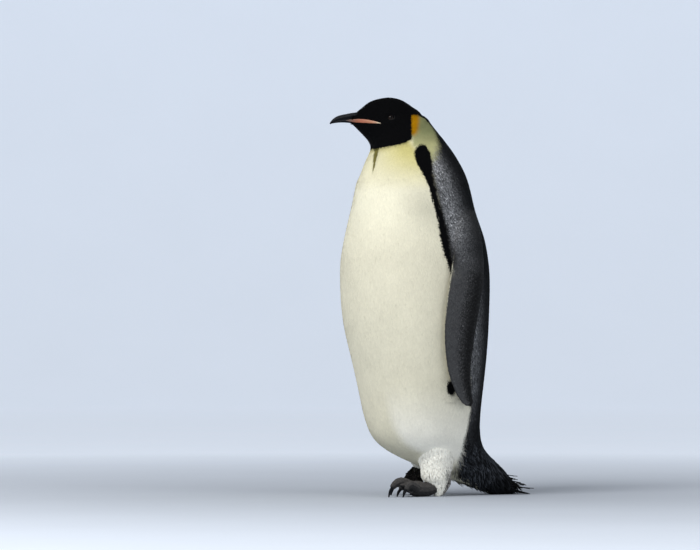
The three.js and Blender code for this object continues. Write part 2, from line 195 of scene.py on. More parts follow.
def drop_attributes(mesh, *names):
    for name in names:
        if name in mesh.attributes:
            mesh.attributes.remove(mesh.attributes[name])


def apply_modifier(piece, kind, **settings):
    activate(piece)
    modifier = piece.modifiers.new(kind.title(), kind)
    for name, value in settings.items():
        setattr(modifier, name, value)
    bpy.ops.object.modifier_apply(modifier=modifier.name)


def edit(piece, *steps):
    """Run steps of edit mode on the whole mesh."""
    activate(piece)
    bpy.ops.object.mode_set(mode="EDIT")
    for step, settings in steps:
        bpy.ops.mesh.select_all(action="SELECT")
        getattr(bpy.ops.mesh, step)(**settings)
    bpy.ops.object.mode_set(mode="OBJECT")


def add_node(tree, kind, inputs, **settings):
    """A new node with its settings, and each input set to a value or linked to a socket."""
    node = tree.nodes.new(kind)
    for name, value in settings.items():
        setattr(node, name, value)
    for key, value in inputs.items():
        if isinstance(value, bpy.types.NodeSocket):
            tree.links.new(value, node.inputs[key])
        else:
            node.inputs[key].default_value = value
    return node


def duplicate(piece, name):
    activate(piece)
    bpy.ops.object.duplicate()
    return active_piece(name)


def copy_of(name, *nodes):
    """One loose copy of CAD nodes, with the vertices of each merged."""
    copies = []
    for node in nodes:
        copy = frame["nodes"][node].copy()
        copy.data = copy.data.copy()
        copy.parent = None
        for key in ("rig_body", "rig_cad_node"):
            del copy[key]
        bpy.context.scene.collection.objects.link(copy)
        copies.append(copy)
    activate(*copies)
    if len(copies) > 1:
        bpy.ops.object.join()
    piece = active_piece(name)
    piece.data.materials.clear()
    edit(piece, ("remove_doubles", {"threshold": 1e-5}))
    return piece


def tree_of(piece):
    mesh = piece.data
    return BVHTree.FromPolygons(
        [v.co for v in mesh.vertices], [list(p.vertices) for p in mesh.polygons]
    )


def soften(grid, sigma, axis, wrap):
    """A grid of numbers blurred along one axis by a bell curve of `sigma` cells."""
    reach = int(3 * sigma) + 1
    weights = np.exp(-0.5 * (np.arange(-reach, reach + 1) / sigma) ** 2)
    weights /= weights.sum()
    pad = [(0, 0)] * grid.ndim
    pad[axis] = (reach, reach)
    padded = np.pad(grid, pad, mode="wrap" if wrap else "edge")
    size = grid.shape[axis]
    return sum(
        w * np.take(padded, np.arange(k, k + size), axis=axis) for k, w in enumerate(weights)
    )


class BodyGrid:
    """The body's outer form as rows of points along it and columns round it, measured from
    the frame. Column 0 runs down the breast and the middle column down the back."""

    def __init__(self):
        solid = copy_of("measure", *BODY_NODES, "eye_left", "eye_right")
        tree = tree_of(solid)
        bpy.data.objects.remove(solid)
        self.last = len(SPINE) - 1
        self.along = np.linspace(0, self.last, self.last * ROWS_PER_STATION + 1)
        y, z, tilt, turn = run_through(SPINE, self.along).T
        self.turn = HEAD_TURN * np.clip(turn, 0, 1)
        cos, sin = np.cos(self.turn), np.sin(self.turn)
        zero = np.zeros_like(y)
        middle = np.stack([-sin * y, cos * y + AXIS_Y, z], 1) * MM
        tilt = np.radians(tilt)
        deep = np.stack([-sin * np.cos(tilt), cos * np.cos(tilt), np.sin(tilt)], 1)
        wide = np.stack([cos, sin, zero], 1)
        self.angle = np.arange(COLUMNS) * 2 * math.pi / COLUMNS
        out = (
            -deep[:, None, :] * np.cos(self.angle)[None, :, None]
            + wide[:, None, :] * np.sin(self.angle)[None, :, None]
        )
        radius = np.zeros(out.shape[:2])
        reach = np.interp(self.along, REACH_AT, REACH)
        for i, centre in enumerate(middle):
            for j in range(COLUMNS):
                start = Vector(centre + out[i, j] * reach[i])
                hit = tree.ray_cast(start, Vector(-out[i, j]), reach[i])[3]
                radius[i, j] = reach[i] - hit if hit is not None else np.nan
        # A ray that misses at an end of the body takes its neighbour's value.
        for j in range(COLUMNS):
            known = ~np.isnan(radius[:, j])
            radius[:, j] = np.interp(self.along, self.along[known], radius[known, j])
        radius = soften(soften(radius, 2.6, 1, True), 2.6, 0, False)
        self.points = middle[:, None, :] + out * radius[:, :, None]
        lengthwise = np.gradient(self.points, axis=0)
        around = np.roll(self.points, -1, 1) - np.roll(self.points, 1, 1)
        self.normals = unit(np.cross(around, lengthwise))
        if (self.normals * out).sum(2).mean() < 0:
            self.normals = -self.normals

    def head_plane(self, spots):
        """How far behind the upright axis, in the head's own plane, and how high each spot
        lies, in millimetres."""
        turn = np.interp(spots.row, np.arange(len(self.turn)), self.turn)
        y = spots.point[:, 1] / MM - AXIS_Y
        behind = np.cos(turn) * y - np.sin(turn) * spots.point[:, 0] / MM
        return behind, spots.point[:, 2] / MM


# ---- Lofts: the flippers and the feathered legs, from their own sections ----

# Level sections of a flipper in millimetres: height, front and rear edge from the upright
# axis, distance of the middle from the middle plane, thickness, and how much nearer to the
# body the rear edge lies.
FLIPPER = (
    (800, 84, 126, 104, 20, 16),
    (760, 58, 136, 134, 26, 24),
    (700, 32, 138, 160, 27, 21),
    (612, 13, 126, 182, 24, 15),
    (520, -4, 106, 191, 19, 11),
    (430, -7, 89, 189, 15, 9),
    (350, 7, 81, 182, 12, 7),
    (290, 33.5, 86, 175, 9, 5),
    (263, 53, 91, 172, 7, 3),
    (253.5, 66, 88, 171, 4, 1),
)
# Level sections of the legs: height, middle [x, y], half width and half length.
LEGS = {
    "left": (
        (170, 60, 28, 60, 64),
        (141, 62, 30, 53, 57),
        (115, 62, 30, 47, 50),
        (90, 62, 31, 40, 43.6),
        (58, 62, 33, 36, 39.6),
        (42, 62, 38, 30, 33.6),
        (30, 62, 41, 25, 26.5),
        (15, 62, 41, 17, 17),
        (5, 62, 38, 10, 8),
    ),
    "right": (
        (170, -60, 36, 58, 62),
        (141, -60, 42, 52, 56),
        (118, -61, 48, 45, 48),
        (98, -62, 53, 37, 38),
        (84, -62, 56, 30, 30),
        (72, -61, 59, 22, 22),
        (64, -60, 61, 14, 14),
    ),
}
# How deep the skin lies under the outer form, for the body, the flippers and the legs.
COAT_DEPTH = np.array([1.1, 0.8, 0.8, 2.0, 2.0]) * MM


def ring(centre, along, across, sides):
    """Loops of points on two half axes, one loop for each row of centres."""
    angle = np.arange(sides) * 2 * math.pi / sides
    return (
        centre[:, None, :]
        + along[:, None, :] * np.cos(angle)[None, :, None]
        + across[:, None, :] * np.sin(angle)[None, :, None]
    )


def flipper_loops(side, rows=110, sides=40):
    z, front, rear, out, thick, tuck = run_through(
        FLIPPER, np.linspace(0, len(FLIPPER) - 1, rows)
    ).T
    zero = np.zeros(rows)
    centre = np.stack([side * out, (front + rear) / 2 + AXIS_Y, z], 1) * MM
    along = np.stack([side * tuck, (front - rear) / 2, zero], 1) * MM
    outer = np.stack([-side * along[:, 1], side * along[:, 0], zero], 1)
    across = unit(outer) * thick[:, None] / 2 * MM
    return ring(centre, along, across, sides)


def leg_loops(name, rows=40, sides=48):
    table = LEGS[name]
    z, x, y, wide, deep = run_through(table, np.linspace(0, len(table) - 1, rows)).T
    zero = np.zeros(rows)
    centre = np.stack([x, y + AXIS_Y, z], 1) * MM
    along = np.stack([zero, -deep, zero], 1) * MM
    across = np.stack([wide, zero, zero], 1) * MM
    return ring(centre, along, across, sides)


def mesh_piece(name, vertices, faces):
    """A new object from arrays of vertices and of faces that all have as many corners."""
    mesh = bpy.data.meshes.new(name)
    faces = np.asarray(faces, np.int32)
    corners = faces.shape[1]
    mesh.vertices.add(len(vertices))
    mesh.vertices.foreach_set("co", np.asarray(vertices, np.float32).ravel())
    mesh.loops.add(faces.size)
    mesh.loops.foreach_set("vertex_index", faces.ravel())
    mesh.polygons.add(len(faces))
    starts = np.arange(len(faces), dtype=np.int32) * corners
    mesh.polygons.foreach_set("loop_start", starts)
    mesh.update(calc_edges=True)
    mesh.validate()
    piece = bpy.data.objects.new(name, mesh)
    bpy.context.scene.collection.objects.link(piece)
    return piece


def tube(name, loops):
    """A skin over closed loops of points, open at both ends."""
    rows, sides = loops.shape[:2]
    index = np.arange(rows * sides).reshape(rows, sides)
    ahead = np.roll(index, -1, 1)
    quads = np.stack([index[:-1], ahead[:-1], ahead[1:], index[1:]], 2).reshape(-1, 4)
    return mesh_piece(name, loops.reshape(-1, 3), quads)


def loft(name, loops):
    """A closed skin over loops of points."""
    piece = tube(name, loops)
    edit(piece, ("fill_holes", {"sides": 0}), FACE_OUT)
    bpy.ops.object.shade_smooth()
    return piece


# ---- The outer form, and places on it ----


class Spots:
    """Places on the bird, with their normals, the part each belongs to, the lie of the coat
    there, and the row and angle on that part's loft."""

    def __init__(self, point, normal, part):
        self.point, self.normal, self.part = point, normal, part
        self.row = np.zeros(len(point))
        self.angle = np.zeros(len(point))
        self.lie = np.zeros((len(point), 3))

    def __len__(self):
        return len(self.point)

    def only(self, keep):
        kept = Spots(self.point[keep], self.normal[keep], self.part[keep])
        kept.row, kept.angle, kept.lie = self.row[keep], self.angle[keep], self.lie[keep]
        return kept


class Loft:
    """A closed skin over loops of points, which tells where a place near it lies."""

    def __init__(self, name, loops):
        self.piece = loft(name, loops)
        mesh = self.piece.data
        mesh.calc_loop_triangles()
        corners = np.empty(len(mesh.loop_triangles) * 3, np.int32)
        mesh.loop_triangles.foreach_get("vertices", corners)
        self.corners = corners.reshape(-1, 3)
        self.points = points_of(mesh)
        self.tree = BVHTree.FromPolygons(self.points.tolist(), self.corners.tolist())
        rows, sides = loops.shape[:2]
        angle = np.tile(np.arange(sides) * 2 * math.pi / sides, rows)
        lie = np.gradient(loops, axis=0).reshape(-1, 3)
        row = np.repeat(np.arange(rows), sides)
        self.values = np.column_stack([row, np.cos(angle), np.sin(angle), unit(lie)])

    def read(self, spots, which):
        """Fill in the row, angle and lie of some of the spots."""
        hits = [self.tree.find_nearest(Vector(spots.point[i])) for i in which]
        place = np.array([hit[0] for hit in hits])
        corners = self.corners[[hit[2] for hit in hits]]
        a, b, c = (self.points[corners[:, k]] for k in range(3))
        whole = np.cross(b - a, c - a)
        area = (whole**2).sum(1)
        share_b = (np.cross(place - a, c - a) * whole).sum(1) / area
        share_c = (np.cross(b - a, place - a) * whole).sum(1) / area
        shares = np.column_stack([1 - share_b - share_c, share_b, share_c])
        values = (self.values[corners] * shares[:, :, None]).sum(1)
        spots.row[which] = values[:, 0]
        spots.angle[which] = np.arctan2(values[:, 2], values[:, 1])
        spots.lie[which] = values[:, 3:]


PARTS = ("body", "flipper_left", "flipper_right", "leg_left", "leg_right")
# How far the creases round the limbs are filled, in millimetres, and over what heights.
CREASES = {"flipper": (24, 600, 700), "leg": (20, -100, -50)}
LEGS_TOP = 200  # a crease above this is a flipper's


class OuterForm:
    """The body, flippers and legs grown together, with the creases between them filled."""

    def __init__(self):
        self.grid = BodyGrid()
        self.lofts = [Loft("body", dented(self.grid, self.grid.points))]
        for side, sign in SIDES.items():
            self.lofts.append(Loft("flipper_" + side, flipper_loops(sign)))
        for side in SIDES:
            self.lofts.append(Loft("leg_" + side, leg_loops(side)))
        for index, part in enumerate(self.lofts):
            faces = part.piece.data.polygons
            attribute = part.piece.data.attributes.new("part", "INT", "FACE")
            attribute.data.foreach_set("value", np.full(len(faces), index, np.int32))
        self.piece = self.joined()
        self.fill_creases()
        mesh = self.piece.data
        self.face_part = read_part(mesh.attributes["part"].data)
        self.faces = self.at("polygons", "center", self.face_part)
        vertex_part = np.zeros(len(mesh.vertices), np.int32)
        for polygon, part in zip(mesh.polygons, self.face_part):
            for vertex in polygon.vertices:
                vertex_part[vertex] = part
        self.vertices = self.at("vertices", "co", vertex_part)

    def joined(self):
        base = self.lofts[0].piece
        for part in self.lofts[1:]:
            join = {"operation": "UNION", "solver": "MANIFOLD", "object": part.piece}
            apply_modifier(base, "BOOLEAN", **join)
            bpy.data.objects.remove(part.piece)
        base.name = "outer_form"
        return base

    def fill_creases(self):
        """Smooth the mesh near the lines where a limb comes out of the body."""
        mesh = self.piece.data
        points = points_of(mesh)
        known = KDTree(sum(len(part.points) for part in self.lofts))
        for part in self.lofts:
            for point in part.points:
                known.insert(point, 0)
        known.balance()
        lines = {"flipper": [], "leg": []}
        for i, point in enumerate(points):
            if known.find(point)[2] > 1e-6:
                lines["flipper" if point[2] > LEGS_TOP * MM else "leg"].append(i)
        weight = np.zeros(len(points))
        for limb, (reach, low, full) in CREASES.items():
            tree = KDTree(len(lines[limb]))
            for i in lines[limb]:
                tree.insert(points[i], i)
            tree.balance()
            for i, point in enumerate(points):
                away = tree.find(point)[2] / MM
                if away < 3 * reach:
                    fade = ramp(np.array([point[2] / MM]), low, full)[0]
                    weight[i] = max(weight[i], math.exp(-((away / reach) ** 2)) * fade)
        group = self.piece.vertex_groups.new(name="crease")
        for i in np.flatnonzero(weight > 0.01):
            group.add([int(i)], float(weight[i]), "REPLACE")
        apply_modifier(self.piece, "SMOOTH", factor=0.7, iterations=60, vertex_group="crease")
        self.piece.vertex_groups.clear()

    def at(self, kind, place, part):
        """The mesh's faces or vertices as spots."""
        items = getattr(self.piece.data, kind)
        return self.located(Spots(read(items, place), read(items, "normal"), part))

    def located(self, spots):
        for index, part in enumerate(self.lofts):
            which = np.flatnonzero(spots.part == index)
            if len(which):
                part.read(spots, which)
        return spots

    def on_body(self, spots):
        """The same spots read on the body's own loft."""
        copy = Spots(spots.point, spots.normal, np.zeros(len(spots), np.int32))
        return self.located(copy)

    def moved(self, spots, shift):
        """The spots moved along the lie of the coat."""
        lie = spots.lie * np.broadcast_to(shift, len(spots))[:, None]
        return self.located(Spots(spots.point + lie, spots.normal, spots.part))

    def scatter(self, mask, gap, seed):
        return self.located(scattered(self.piece, mask, gap, seed))


def scattered(piece, mask, gap, seed):
    """Spots at least `gap` apart, spread at random over the piece's faces in the mask."""
    mesh = piece.data
    for name, values in (("mask", mask), ("part", None)):
        if values is not None or name not in mesh.attributes:
            values = np.zeros(len(mesh.polygons)) if values is None else values
            attribute = mesh.attributes.get(name) or mesh.attributes.new(name, "INT", "FACE")
            attribute.data.foreach_set("value", values.astype(np.int32))
    copy = duplicate(piece, "scattered")
    tree = scatter_tree(gap, seed)
    apply_modifier(copy, "NODES", node_group=tree)
    mesh = copy.data
    facing = read(mesh.attributes["facing"].data, "vector")
    spots = Spots(points_of(mesh), facing, read_part(mesh.attributes["part"].data))
    bpy.data.objects.remove(copy)
    bpy.data.node_groups.remove(tree)
    return spots


TRIES = 2.5  # points tried on a square of the gap's size


def scatter_tree(gap, seed):
    """Nodes that spread points over the masked faces and keep each point's normal."""
    tree = bpy.data.node_groups.new("Scatter", "GeometryNodeTree")
    for way in ("INPUT", "OUTPUT"):
        tree.interface.new_socket("Geometry", in_out=way, socket_type="NodeSocketGeometry")
    source, sink = (tree.nodes.new(kind) for kind in ("NodeGroupInput", "NodeGroupOutput"))
    mask = add_node(
        tree, "GeometryNodeInputNamedAttribute", {"Name": "mask"}, data_type="INT"
    ).outputs["Attribute"]
    left_out = add_node(
        tree, "FunctionNodeCompare", {2: mask, 3: 1}, data_type="INT", operation="LESS_THAN"
    )
    trim = add_node(
        tree, "GeometryNodeDeleteGeometry",
        {"Geometry": source.outputs[0], "Selection": left_out.outputs["Result"]}, domain="FACE",
    )
    spread = add_node(
        tree, "GeometryNodeDistributePointsOnFaces",
        {"Mesh": trim.outputs["Geometry"], "Distance Min": gap, "Seed": seed},
        distribute_method="POISSON",
    )
    spread.inputs["Density Max"].default_value = TRIES / gap**2
    points, normal = spread.outputs["Points"], spread.outputs["Normal"]
    facing = add_node(
        tree, "GeometryNodeStoreNamedAttribute",
        {"Geometry": points, "Name": "facing", "Value": normal}, data_type="FLOAT_VECTOR",
    )
    kept = {"Points": facing.outputs["Geometry"]}
    loose = add_node(tree, "GeometryNodePointsToVertices", kept)
    tree.links.new(loose.outputs["Mesh"], sink.inputs[0])
    return tree


# ---- Feathers ----

# A feather as places on it: share of its length, share of its width, and height, where 1 is
# its full lift and -1 its sunken root. Its middle line is raised.
LONG_VANE = {
    "places": np.array([
        (0, -0.24, -1), (0, 0.24, -1),
        (0.45, -0.5, 0.35), (0.45, 0, 0.7), (0.45, 0.5, 0.35),
        (0.82, -0.38, 0.75), (0.82, 0, 1.05), (0.82, 0.38, 0.75), (1, 0, 0.85),
    ]),
    "faces": np.array([
        (0, 3, 2), (0, 1, 3), (1, 4, 3), (2, 3, 6), (2, 6, 5), (3, 4, 7), (3, 7, 6),
        (5, 6, 8), (6, 7, 8),
    ]),
}
SHORT_VANE = {
    "places": np.array([
        (0, -0.25, -1), (0, 0.25, -1),
        (0.6, -0.5, 0.65), (0.6, 0, 1.05), (0.6, 0.5, 0.65), (1, 0, 0.75),
    ]),
    "faces": np.array([(0, 3, 2), (0, 1, 3), (1, 4, 3), (2, 3, 5), (3, 4, 5)]),
}
PATCH = 0.003  # how long a feather's patch is on the unwrap
FEATHERS_OVER_FLOOR = 0.4
SPREADS = (0.15, 0.1, 0.25)  # how much the length, width and lift of the feathers differ
SWING, ROLL = 0.11, 0.09  # how much plain feathers turn and lean, in radians


def feather_coat(name, spots, vane, size, unruly, root_colour, tip_colour, unwrap, seed):
    """One mesh of feathers. `size` is (length, width, lift, sink), each a number or one for
    each spot; unruly is how much they turn and lean; colours are for each spot; unwrap is
    each root's place on the skin's unwrap."""
    rng = np.random.default_rng(seed)
    count = len(spots)
    length, width, lift, sink = (np.broadcast_to(value, count) for value in size)
    length, width, lift = (
        value * rng.uniform(1 - spread, 1 + spread, count)
        for value, spread in zip((length, width, lift), SPREADS)
    )
    normal = unit(spots.normal)
    ahead = unit(spots.lie - (spots.lie * normal).sum(1)[:, None] * normal)
    across = np.cross(normal, ahead)
    swing = rng.normal(0, SWING * unruly, count)[:, None]
    ahead, across = (
        ahead * np.cos(swing) + across * np.sin(swing),
        across * np.cos(swing) - ahead * np.sin(swing),
    )
    roll = rng.normal(0, ROLL * unruly, count)[:, None]
    across = unit(across + normal * roll)
    places = vane["places"]
    level = places[None, :, 2]
    height = np.where(level < 0, level * sink[:, None], level * lift[:, None])
    vertices = (
        spots.point[:, None, :]
        + ahead[:, None, :] * (places[None, :, 0] * length[:, None])[:, :, None]
        + across[:, None, :] * (places[None, :, 1] * width[:, None])[:, :, None]
        + normal[:, None, :] * height[:, :, None]
    ).reshape(-1, 3)
    vertices[:, 2] = np.maximum(vertices[:, 2], FEATHERS_OVER_FLOOR * MM)
    per = len(places)
    faces = (vane["faces"][None] + np.arange(count)[:, None, None] * per).reshape(-1, 3)
    piece = mesh_piece(name, vertices, faces)
    mesh = piece.data
    mesh.polygons.foreach_set("use_smooth", np.ones(len(faces), bool))
    share = places[:, 0][None, :, None]
    colour = root_colour[:, None, :] * (1 - share) + tip_colour[:, None, :] * share
    set_colour(mesh, "plume", colour)
    patch = np.stack([places[:, 1], places[:, 0] - 0.5], 1) * PATCH
    uv = (unwrap[:, None, :] + patch[None]).reshape(-1, 2)
    layer = mesh.uv_layers.new(name="OFBake")
    layer.data.foreach_set("uv", uv[faces.ravel()].astype(np.float32).ravel())
    mesh.update()
    return piece


# ---- Markings ----


def curve(at, places, values):
    return np.interp(at, places, values)


def mixed(one, other, share):
    """One colour, or one for each spot, mixed with another by a share for each spot."""
    return one * (1 - share[:, None]) + other * share[:, None]


# Where the mantle begins, by station: degrees round from the breast, and the half width of
# its soft edge.
MANTLE_AT = (
    5.8, 6.3, 6.6, 7, 7.3, 7.6, 7.8, 8, 8.5, 9, 9.6, 10.3, 11.5,
    12, 13, 14, 14.4, 14.8, 15.2, 16, 16.6, 17, 17.35, 17.75, 18.1, 18.6,
)
MANTLE_EDGE = (
    170, 166, 158, 148, 137, 127.5, 118.5, 112.5, 107, 103, 100, 99, 98,
    104, 110, 118, 122, 120, 115, 100, 70, 45, 33, 25, 16, 5,
)
MANTLE_SOFT_AT = (6.3, 7, 7.3, 7.8, 8.2, 9, 14, 17)
MANTLE_SOFT = (5, 9, 11, 10, 5, 2, 2, 5)
# Where the silver of the mantle starts to fade, how fast, and how bright it is, by station.
SILVER_AT = (7, 8, 9, 10, 11, 12, 13, 14, 15, 16)
SILVER_EDGE = (128, 120, 112, 107, 104, 119, 121, 122, 120, 120)
SILVER_FADE = (14, 14, 15, 17, 15, 12, 11, 11, 12, 12)
SILVER_LIGHT = (0.95, 1.1, 0.85, 1.1, 0.55, 0.5, 0.6, 0.55, 0.12, 0.03)
# The black stripe from the neck down to the flipper.
STRIPE_AT = (6.6, 6.7, 6.85, 7.1, 7.5, 7.9, 8.2, 8.6, 9.2, 9.9, 10.4, 10.8, 11.2, 11.8)
STRIPE_MIDDLE = (124, 122, 119.5, 117, 112.5, 109, 106, 102.5, 98.5, 98, 97, 96.5, 97.5, 99)
STRIPE_HALF = (0, 7.5, 11, 12.5, 12, 9.7, 7.2, 5.3, 4.2, 4.5, 5.2, 4.8, 3.5, 1.5)
TUFT = (13.91, 95.5, 0.165, 5.6)  # a dark tuft beside the flipper: station, angle, half sizes
# The hood's edges in the head's own plane, in millimetres: its rear edge by height, its
# lower edge and the upper edge of the pale nape by distance behind the upright axis.
HOOD_REAR = ((978, 984, 990, 1053, 1054), (-24, -14, -11.3, -11.3, -5))
HOOD_LOWER = ((-130, -115, -84, -57, -29, -18, -11), (959, 958, 962, 967, 974, 980, 986))
NAPE_TOP = ((-12, 7.5, 23.5, 33, 42.6, 55, 62, 70), (1053, 1053, 1045, 1036, 1026, 1010, 1000, 990))
# How far back the orange of the cheek patch reaches, by height.
ORANGE_REAR = ((984, 995, 1015, 1035, 1053), (-10, -5, 4, 7, 8))
# The furrow down the left of the throat: its middle and half width in degrees, by station.
FURROW_MIDDLE = ((5.3, 5.9, 6.4, 7.2), (33.5, 34.5, 34.5, 35))
FURROW_HALF = ((5.3, 5.9, 6.4, 6.8, 7.2), (6.5, 5, 2.8, 1.8, 0.6))
# By height: how olive the side of the neck is, partly painted shade that deepens up the nape,
# how much painted shade darkens the flanks, and how strong the yellow under the hood.
NAPE_OLIVE_AND_SHADE = ((968, 982, 996, 1010), (0, 0.38, 0.75, 1))
FLANK_PAINTED_SHADE = ((706, 748, 789, 830, 875), (0, 0.16, 0.3, 0.2, 0))
YELLOW_DOWN = ((840, 855, 885, 913, 940, 955), (0, 0.2, 0.5, 0.8, 0.95, 1))
# The lower feathers at an edge cover those above them, which moves it up by this much.
MARK_SHIFT = 4.0
TAIL_STATION = 18.6  # from here on the body is dark all round
MM_PER_STATION = 38


def tuft_reach(station, angle):
    """How far a spot lies from the middle of the dark tuft, where 1 is the tuft's edge."""
    return np.hypot((station - TUFT[0]) / TUFT[2], (angle - TUFT[1]) / TUFT[3])


def body_colours(grid, spots, colours, seed):
    """Root and tip colours of the coat of the body and head."""
    rng = np.random.default_rng(seed)
    count = len(spots)
    station = spots.row / ROWS_PER_STATION - MARK_SHIFT / MM_PER_STATION
    angle = np.degrees(np.abs(spots.angle)) + rng.normal(0, 0.5, count)
    behind, height = grid.head_plane(spots)
    behind = behind + rng.normal(0, 0.4, count)
    height = height + MARK_SHIFT + rng.normal(0, 0.4, count)

    # Pale feathers: yellow under the hood, strongest at the sides, and white on the belly. The paler
    # yellow down the front is a painted highlight.
    yellow = curve(height, *YELLOW_DOWN) * (0.33 + 0.67 * ramp(angle, 12, 100))
    yellow = np.maximum(yellow, 0.85 * ramp(height, 936, 958))
    yellow *= 1 - 0.6 * ramp(angle, 104, 120)
    # The upper belly takes a lighter copy of the belly's white: painted light on the breast.
    pale = mixed(colours.white, colours.lit_white, 0.1 + 0.9 * ramp(height, 640, 800))
    pale = mixed(pale, colours.yellow, yellow)
    side = np.maximum(ramp(behind, -14, -6) * (station < 6.6), ramp(angle, 112, 124))
    side *= ramp(station, 8.5, 7.8)
    # The side of the neck turns olive towards the top: partly its own colour and partly painted shade
    # on the nape.
    nape = mixed(colours.neck, colours.olive, curve(height, *NAPE_OLIVE_AND_SHADE))
    pale = mixed(pale, nape, side)
    edge = curve(height, *ORANGE_REAR)
    orange = ramp(behind, edge + 9, edge - 5) * ramp(behind, -13, -11) * ramp(height, 988, 1004)
    pale = mixed(pale, colours.orange, orange * (station < 7))
    # The belly brightens towards the legs, into the legs' brighter white, which is partly painted
    # light.
    legs = ramp(height, 330, 130) * ramp(np.abs(spots.point[:, 0] / MM), 68, 100)
    pale = mixed(pale, colours.down, 0.9 * legs * (station > 12))
    pale *= (1 + rng.normal(0, 0.02, count))[:, None]
    # Its sides carry painted shade: darker towards the flanks, and most in the shallow hollow beside
    # the stripe.
    pale *= (1 - 0.1 * ramp(angle, 60, 95) * ramp(station, 9, 11))[:, None]
    pale *= (1 - curve(height, *FLANK_PAINTED_SHADE) * ramp(angle, 46, 86))[:, None]

    # Dark feathers: the mantle, silver near the flipper and blue-black down the back.
    beyond = np.maximum(angle - curve(station, SILVER_AT, SILVER_EDGE), 0)
    silver = np.exp(-((beyond / curve(station, SILVER_AT, SILVER_FADE)) ** 2))
    silver *= curve(station, SILVER_AT, SILVER_LIGHT)
    loose = ramp(station, 15.2, 16.8)
    coarse = 0.24 + 0.75 * loose + 0.24 * np.clip(silver, 0, 1)
    speckle = np.minimum(np.exp(rng.normal(-0.1, coarse, count)), 3.2)
    speckle *= 1 - 0.7 * ramp(station, 17.9, TAIL_STATION)
    tip = colours.back * (1 + 2.6 * loose[:, None]) + colours.silver * silver[:, None]
    tip = tip * speckle[:, None]
    # Roots are darker than tips: partly the feathers' own dark bases, partly painted shade under the
    # feathers above them.
    root = tip * 0.25
    soft = curve(station, MANTLE_SOFT_AT, MANTLE_SOFT)
    edge = curve(station, MANTLE_AT, MANTLE_EDGE)
    mantle = ramp(angle, edge - soft, edge + soft) * (station > 5.5)
    mantle = np.where(station > TAIL_STATION, 1, mantle)
    # In the soft edge the feathers are pale or dark one by one as much as they are grey.
    mantle = np.clip(mantle + rng.normal(0, 0.12, count) * (mantle > 0.02) * (mantle < 0.98), 0, 1)
    tips = mixed(pale, tip, mantle)
    # The pale roots are a little darker too, also partly painted shade.
    roots = mixed(pale * 0.93, root, mantle)

    # The inside of the furrow down the throat is painted a dark olive shade, which stands in for the
    # shadow in the fold.
    side_angle = np.degrees(spots.angle)
    fold_shade = ramp(
        np.abs(side_angle - curve(station, *FURROW_MIDDLE)) / curve(station, *FURROW_HALF),
        1.15, 0.8,
    )
    fold_shade *= (station > 4.9) * (station < 7.25)
    roots, tips = (mixed(colour, colours.fold_shade, fold_shade) for colour in (roots, tips))

    half = curve(station, STRIPE_AT, STRIPE_HALF)
    off = angle - curve(station, STRIPE_AT, STRIPE_MIDDLE)
    soft = 0.6 + 2.4 * ramp(station, 7.6, 8.6) * (off > 0)
    stripe = ramp(np.abs(off), half + soft, half - soft) * (station > 6.5) * (station < 11.8)
    ragged = 1 + rng.normal(0, 0.06, count)
    tuft = ramp(tuft_reach(station, angle) * ragged, 1.1, 0.9)
    hood = np.minimum(curve(height, *HOOD_REAR) - behind, height - curve(behind, *HOOD_LOWER))
    hood = ramp(hood, -0.6, 0.6) * (station < 7)
    crown = ramp(height - curve(behind, *NAPE_TOP), -0.8, 0.8) * (behind > -12) * (station < 6.35)
    black = np.max([stripe, tuft, hood, crown], axis=0)
    return [mixed(colour, colours.black, black) for colour in (roots, tips)]


# How bright the outer face of a flipper is, from its front edge to its rear edge: the bright front
# third is a painted sheen, the darker rear is partly the scaly feathers' own tone, and the dark rear
# edge is partly painted shade.
FLIPPER_SHEEN_AND_SHADE = (
    (0, 0.06, 0.3, 0.45, 0.55, 0.65, 0.75, 0.85, 0.93, 1),
    (0.7, 1, 1, 0.9, 0.62, 0.38, 0.2, 0.16, 0.3, 0.15),
)


def flipper_colours(spots, colours, seed):
    """The outer face is slate, smooth in front with a painted sheen and scaly behind, with painted
    shade at its rear edge, and the inner face is white with a dark rim. A thin pale line runs down
    the upper part of the front edge."""
    rng = np.random.default_rng(seed)
    count = len(spots)
    front = np.cos(spots.angle)
    outer = np.sin(spots.angle)
    height = spots.point[:, 2] / MM
    across = (1 - front) / 2
    wave = np.sin(height * 0.6 + 6 * np.sin(5.5 * across + 0.02 * height) + rng.normal(0, 0.6, count))
    rear = ramp(across, 0.3, 0.5)
    speckle = np.exp(rng.normal(0, 0.12 + 0.25 * rear, count)) * (1 + 0.4 * rear * wave)
    # Painted sheen in front and painted shade at the rear edge, on the feathers' own speckle.
    shade = curve(across, *FLIPPER_SHEEN_AND_SHADE) * speckle
    tip = shade[:, None] * colours.slate
    # The flipper's roots are darker, partly painted shade under the feathers above them.
    root = tip * (0.7 - 0.45 * rear)[:, None]
    under = ramp(outer, -0.35, -0.65) * ramp(np.abs(front), 0.9, 0.8) * ramp(height, 285, 330)
    line = 0.5 * np.exp(-(((spots.angle - 0.02) / 0.075) ** 2))
    line *= ramp(height, 470, 540) * ramp(height, 735, 700) * (np.abs(spots.angle) < 1)
    pale = np.clip(under + line, 0, 1)
    return mixed(root, colours.lit_white * 0.9, pale), mixed(tip, colours.lit_white, pale)


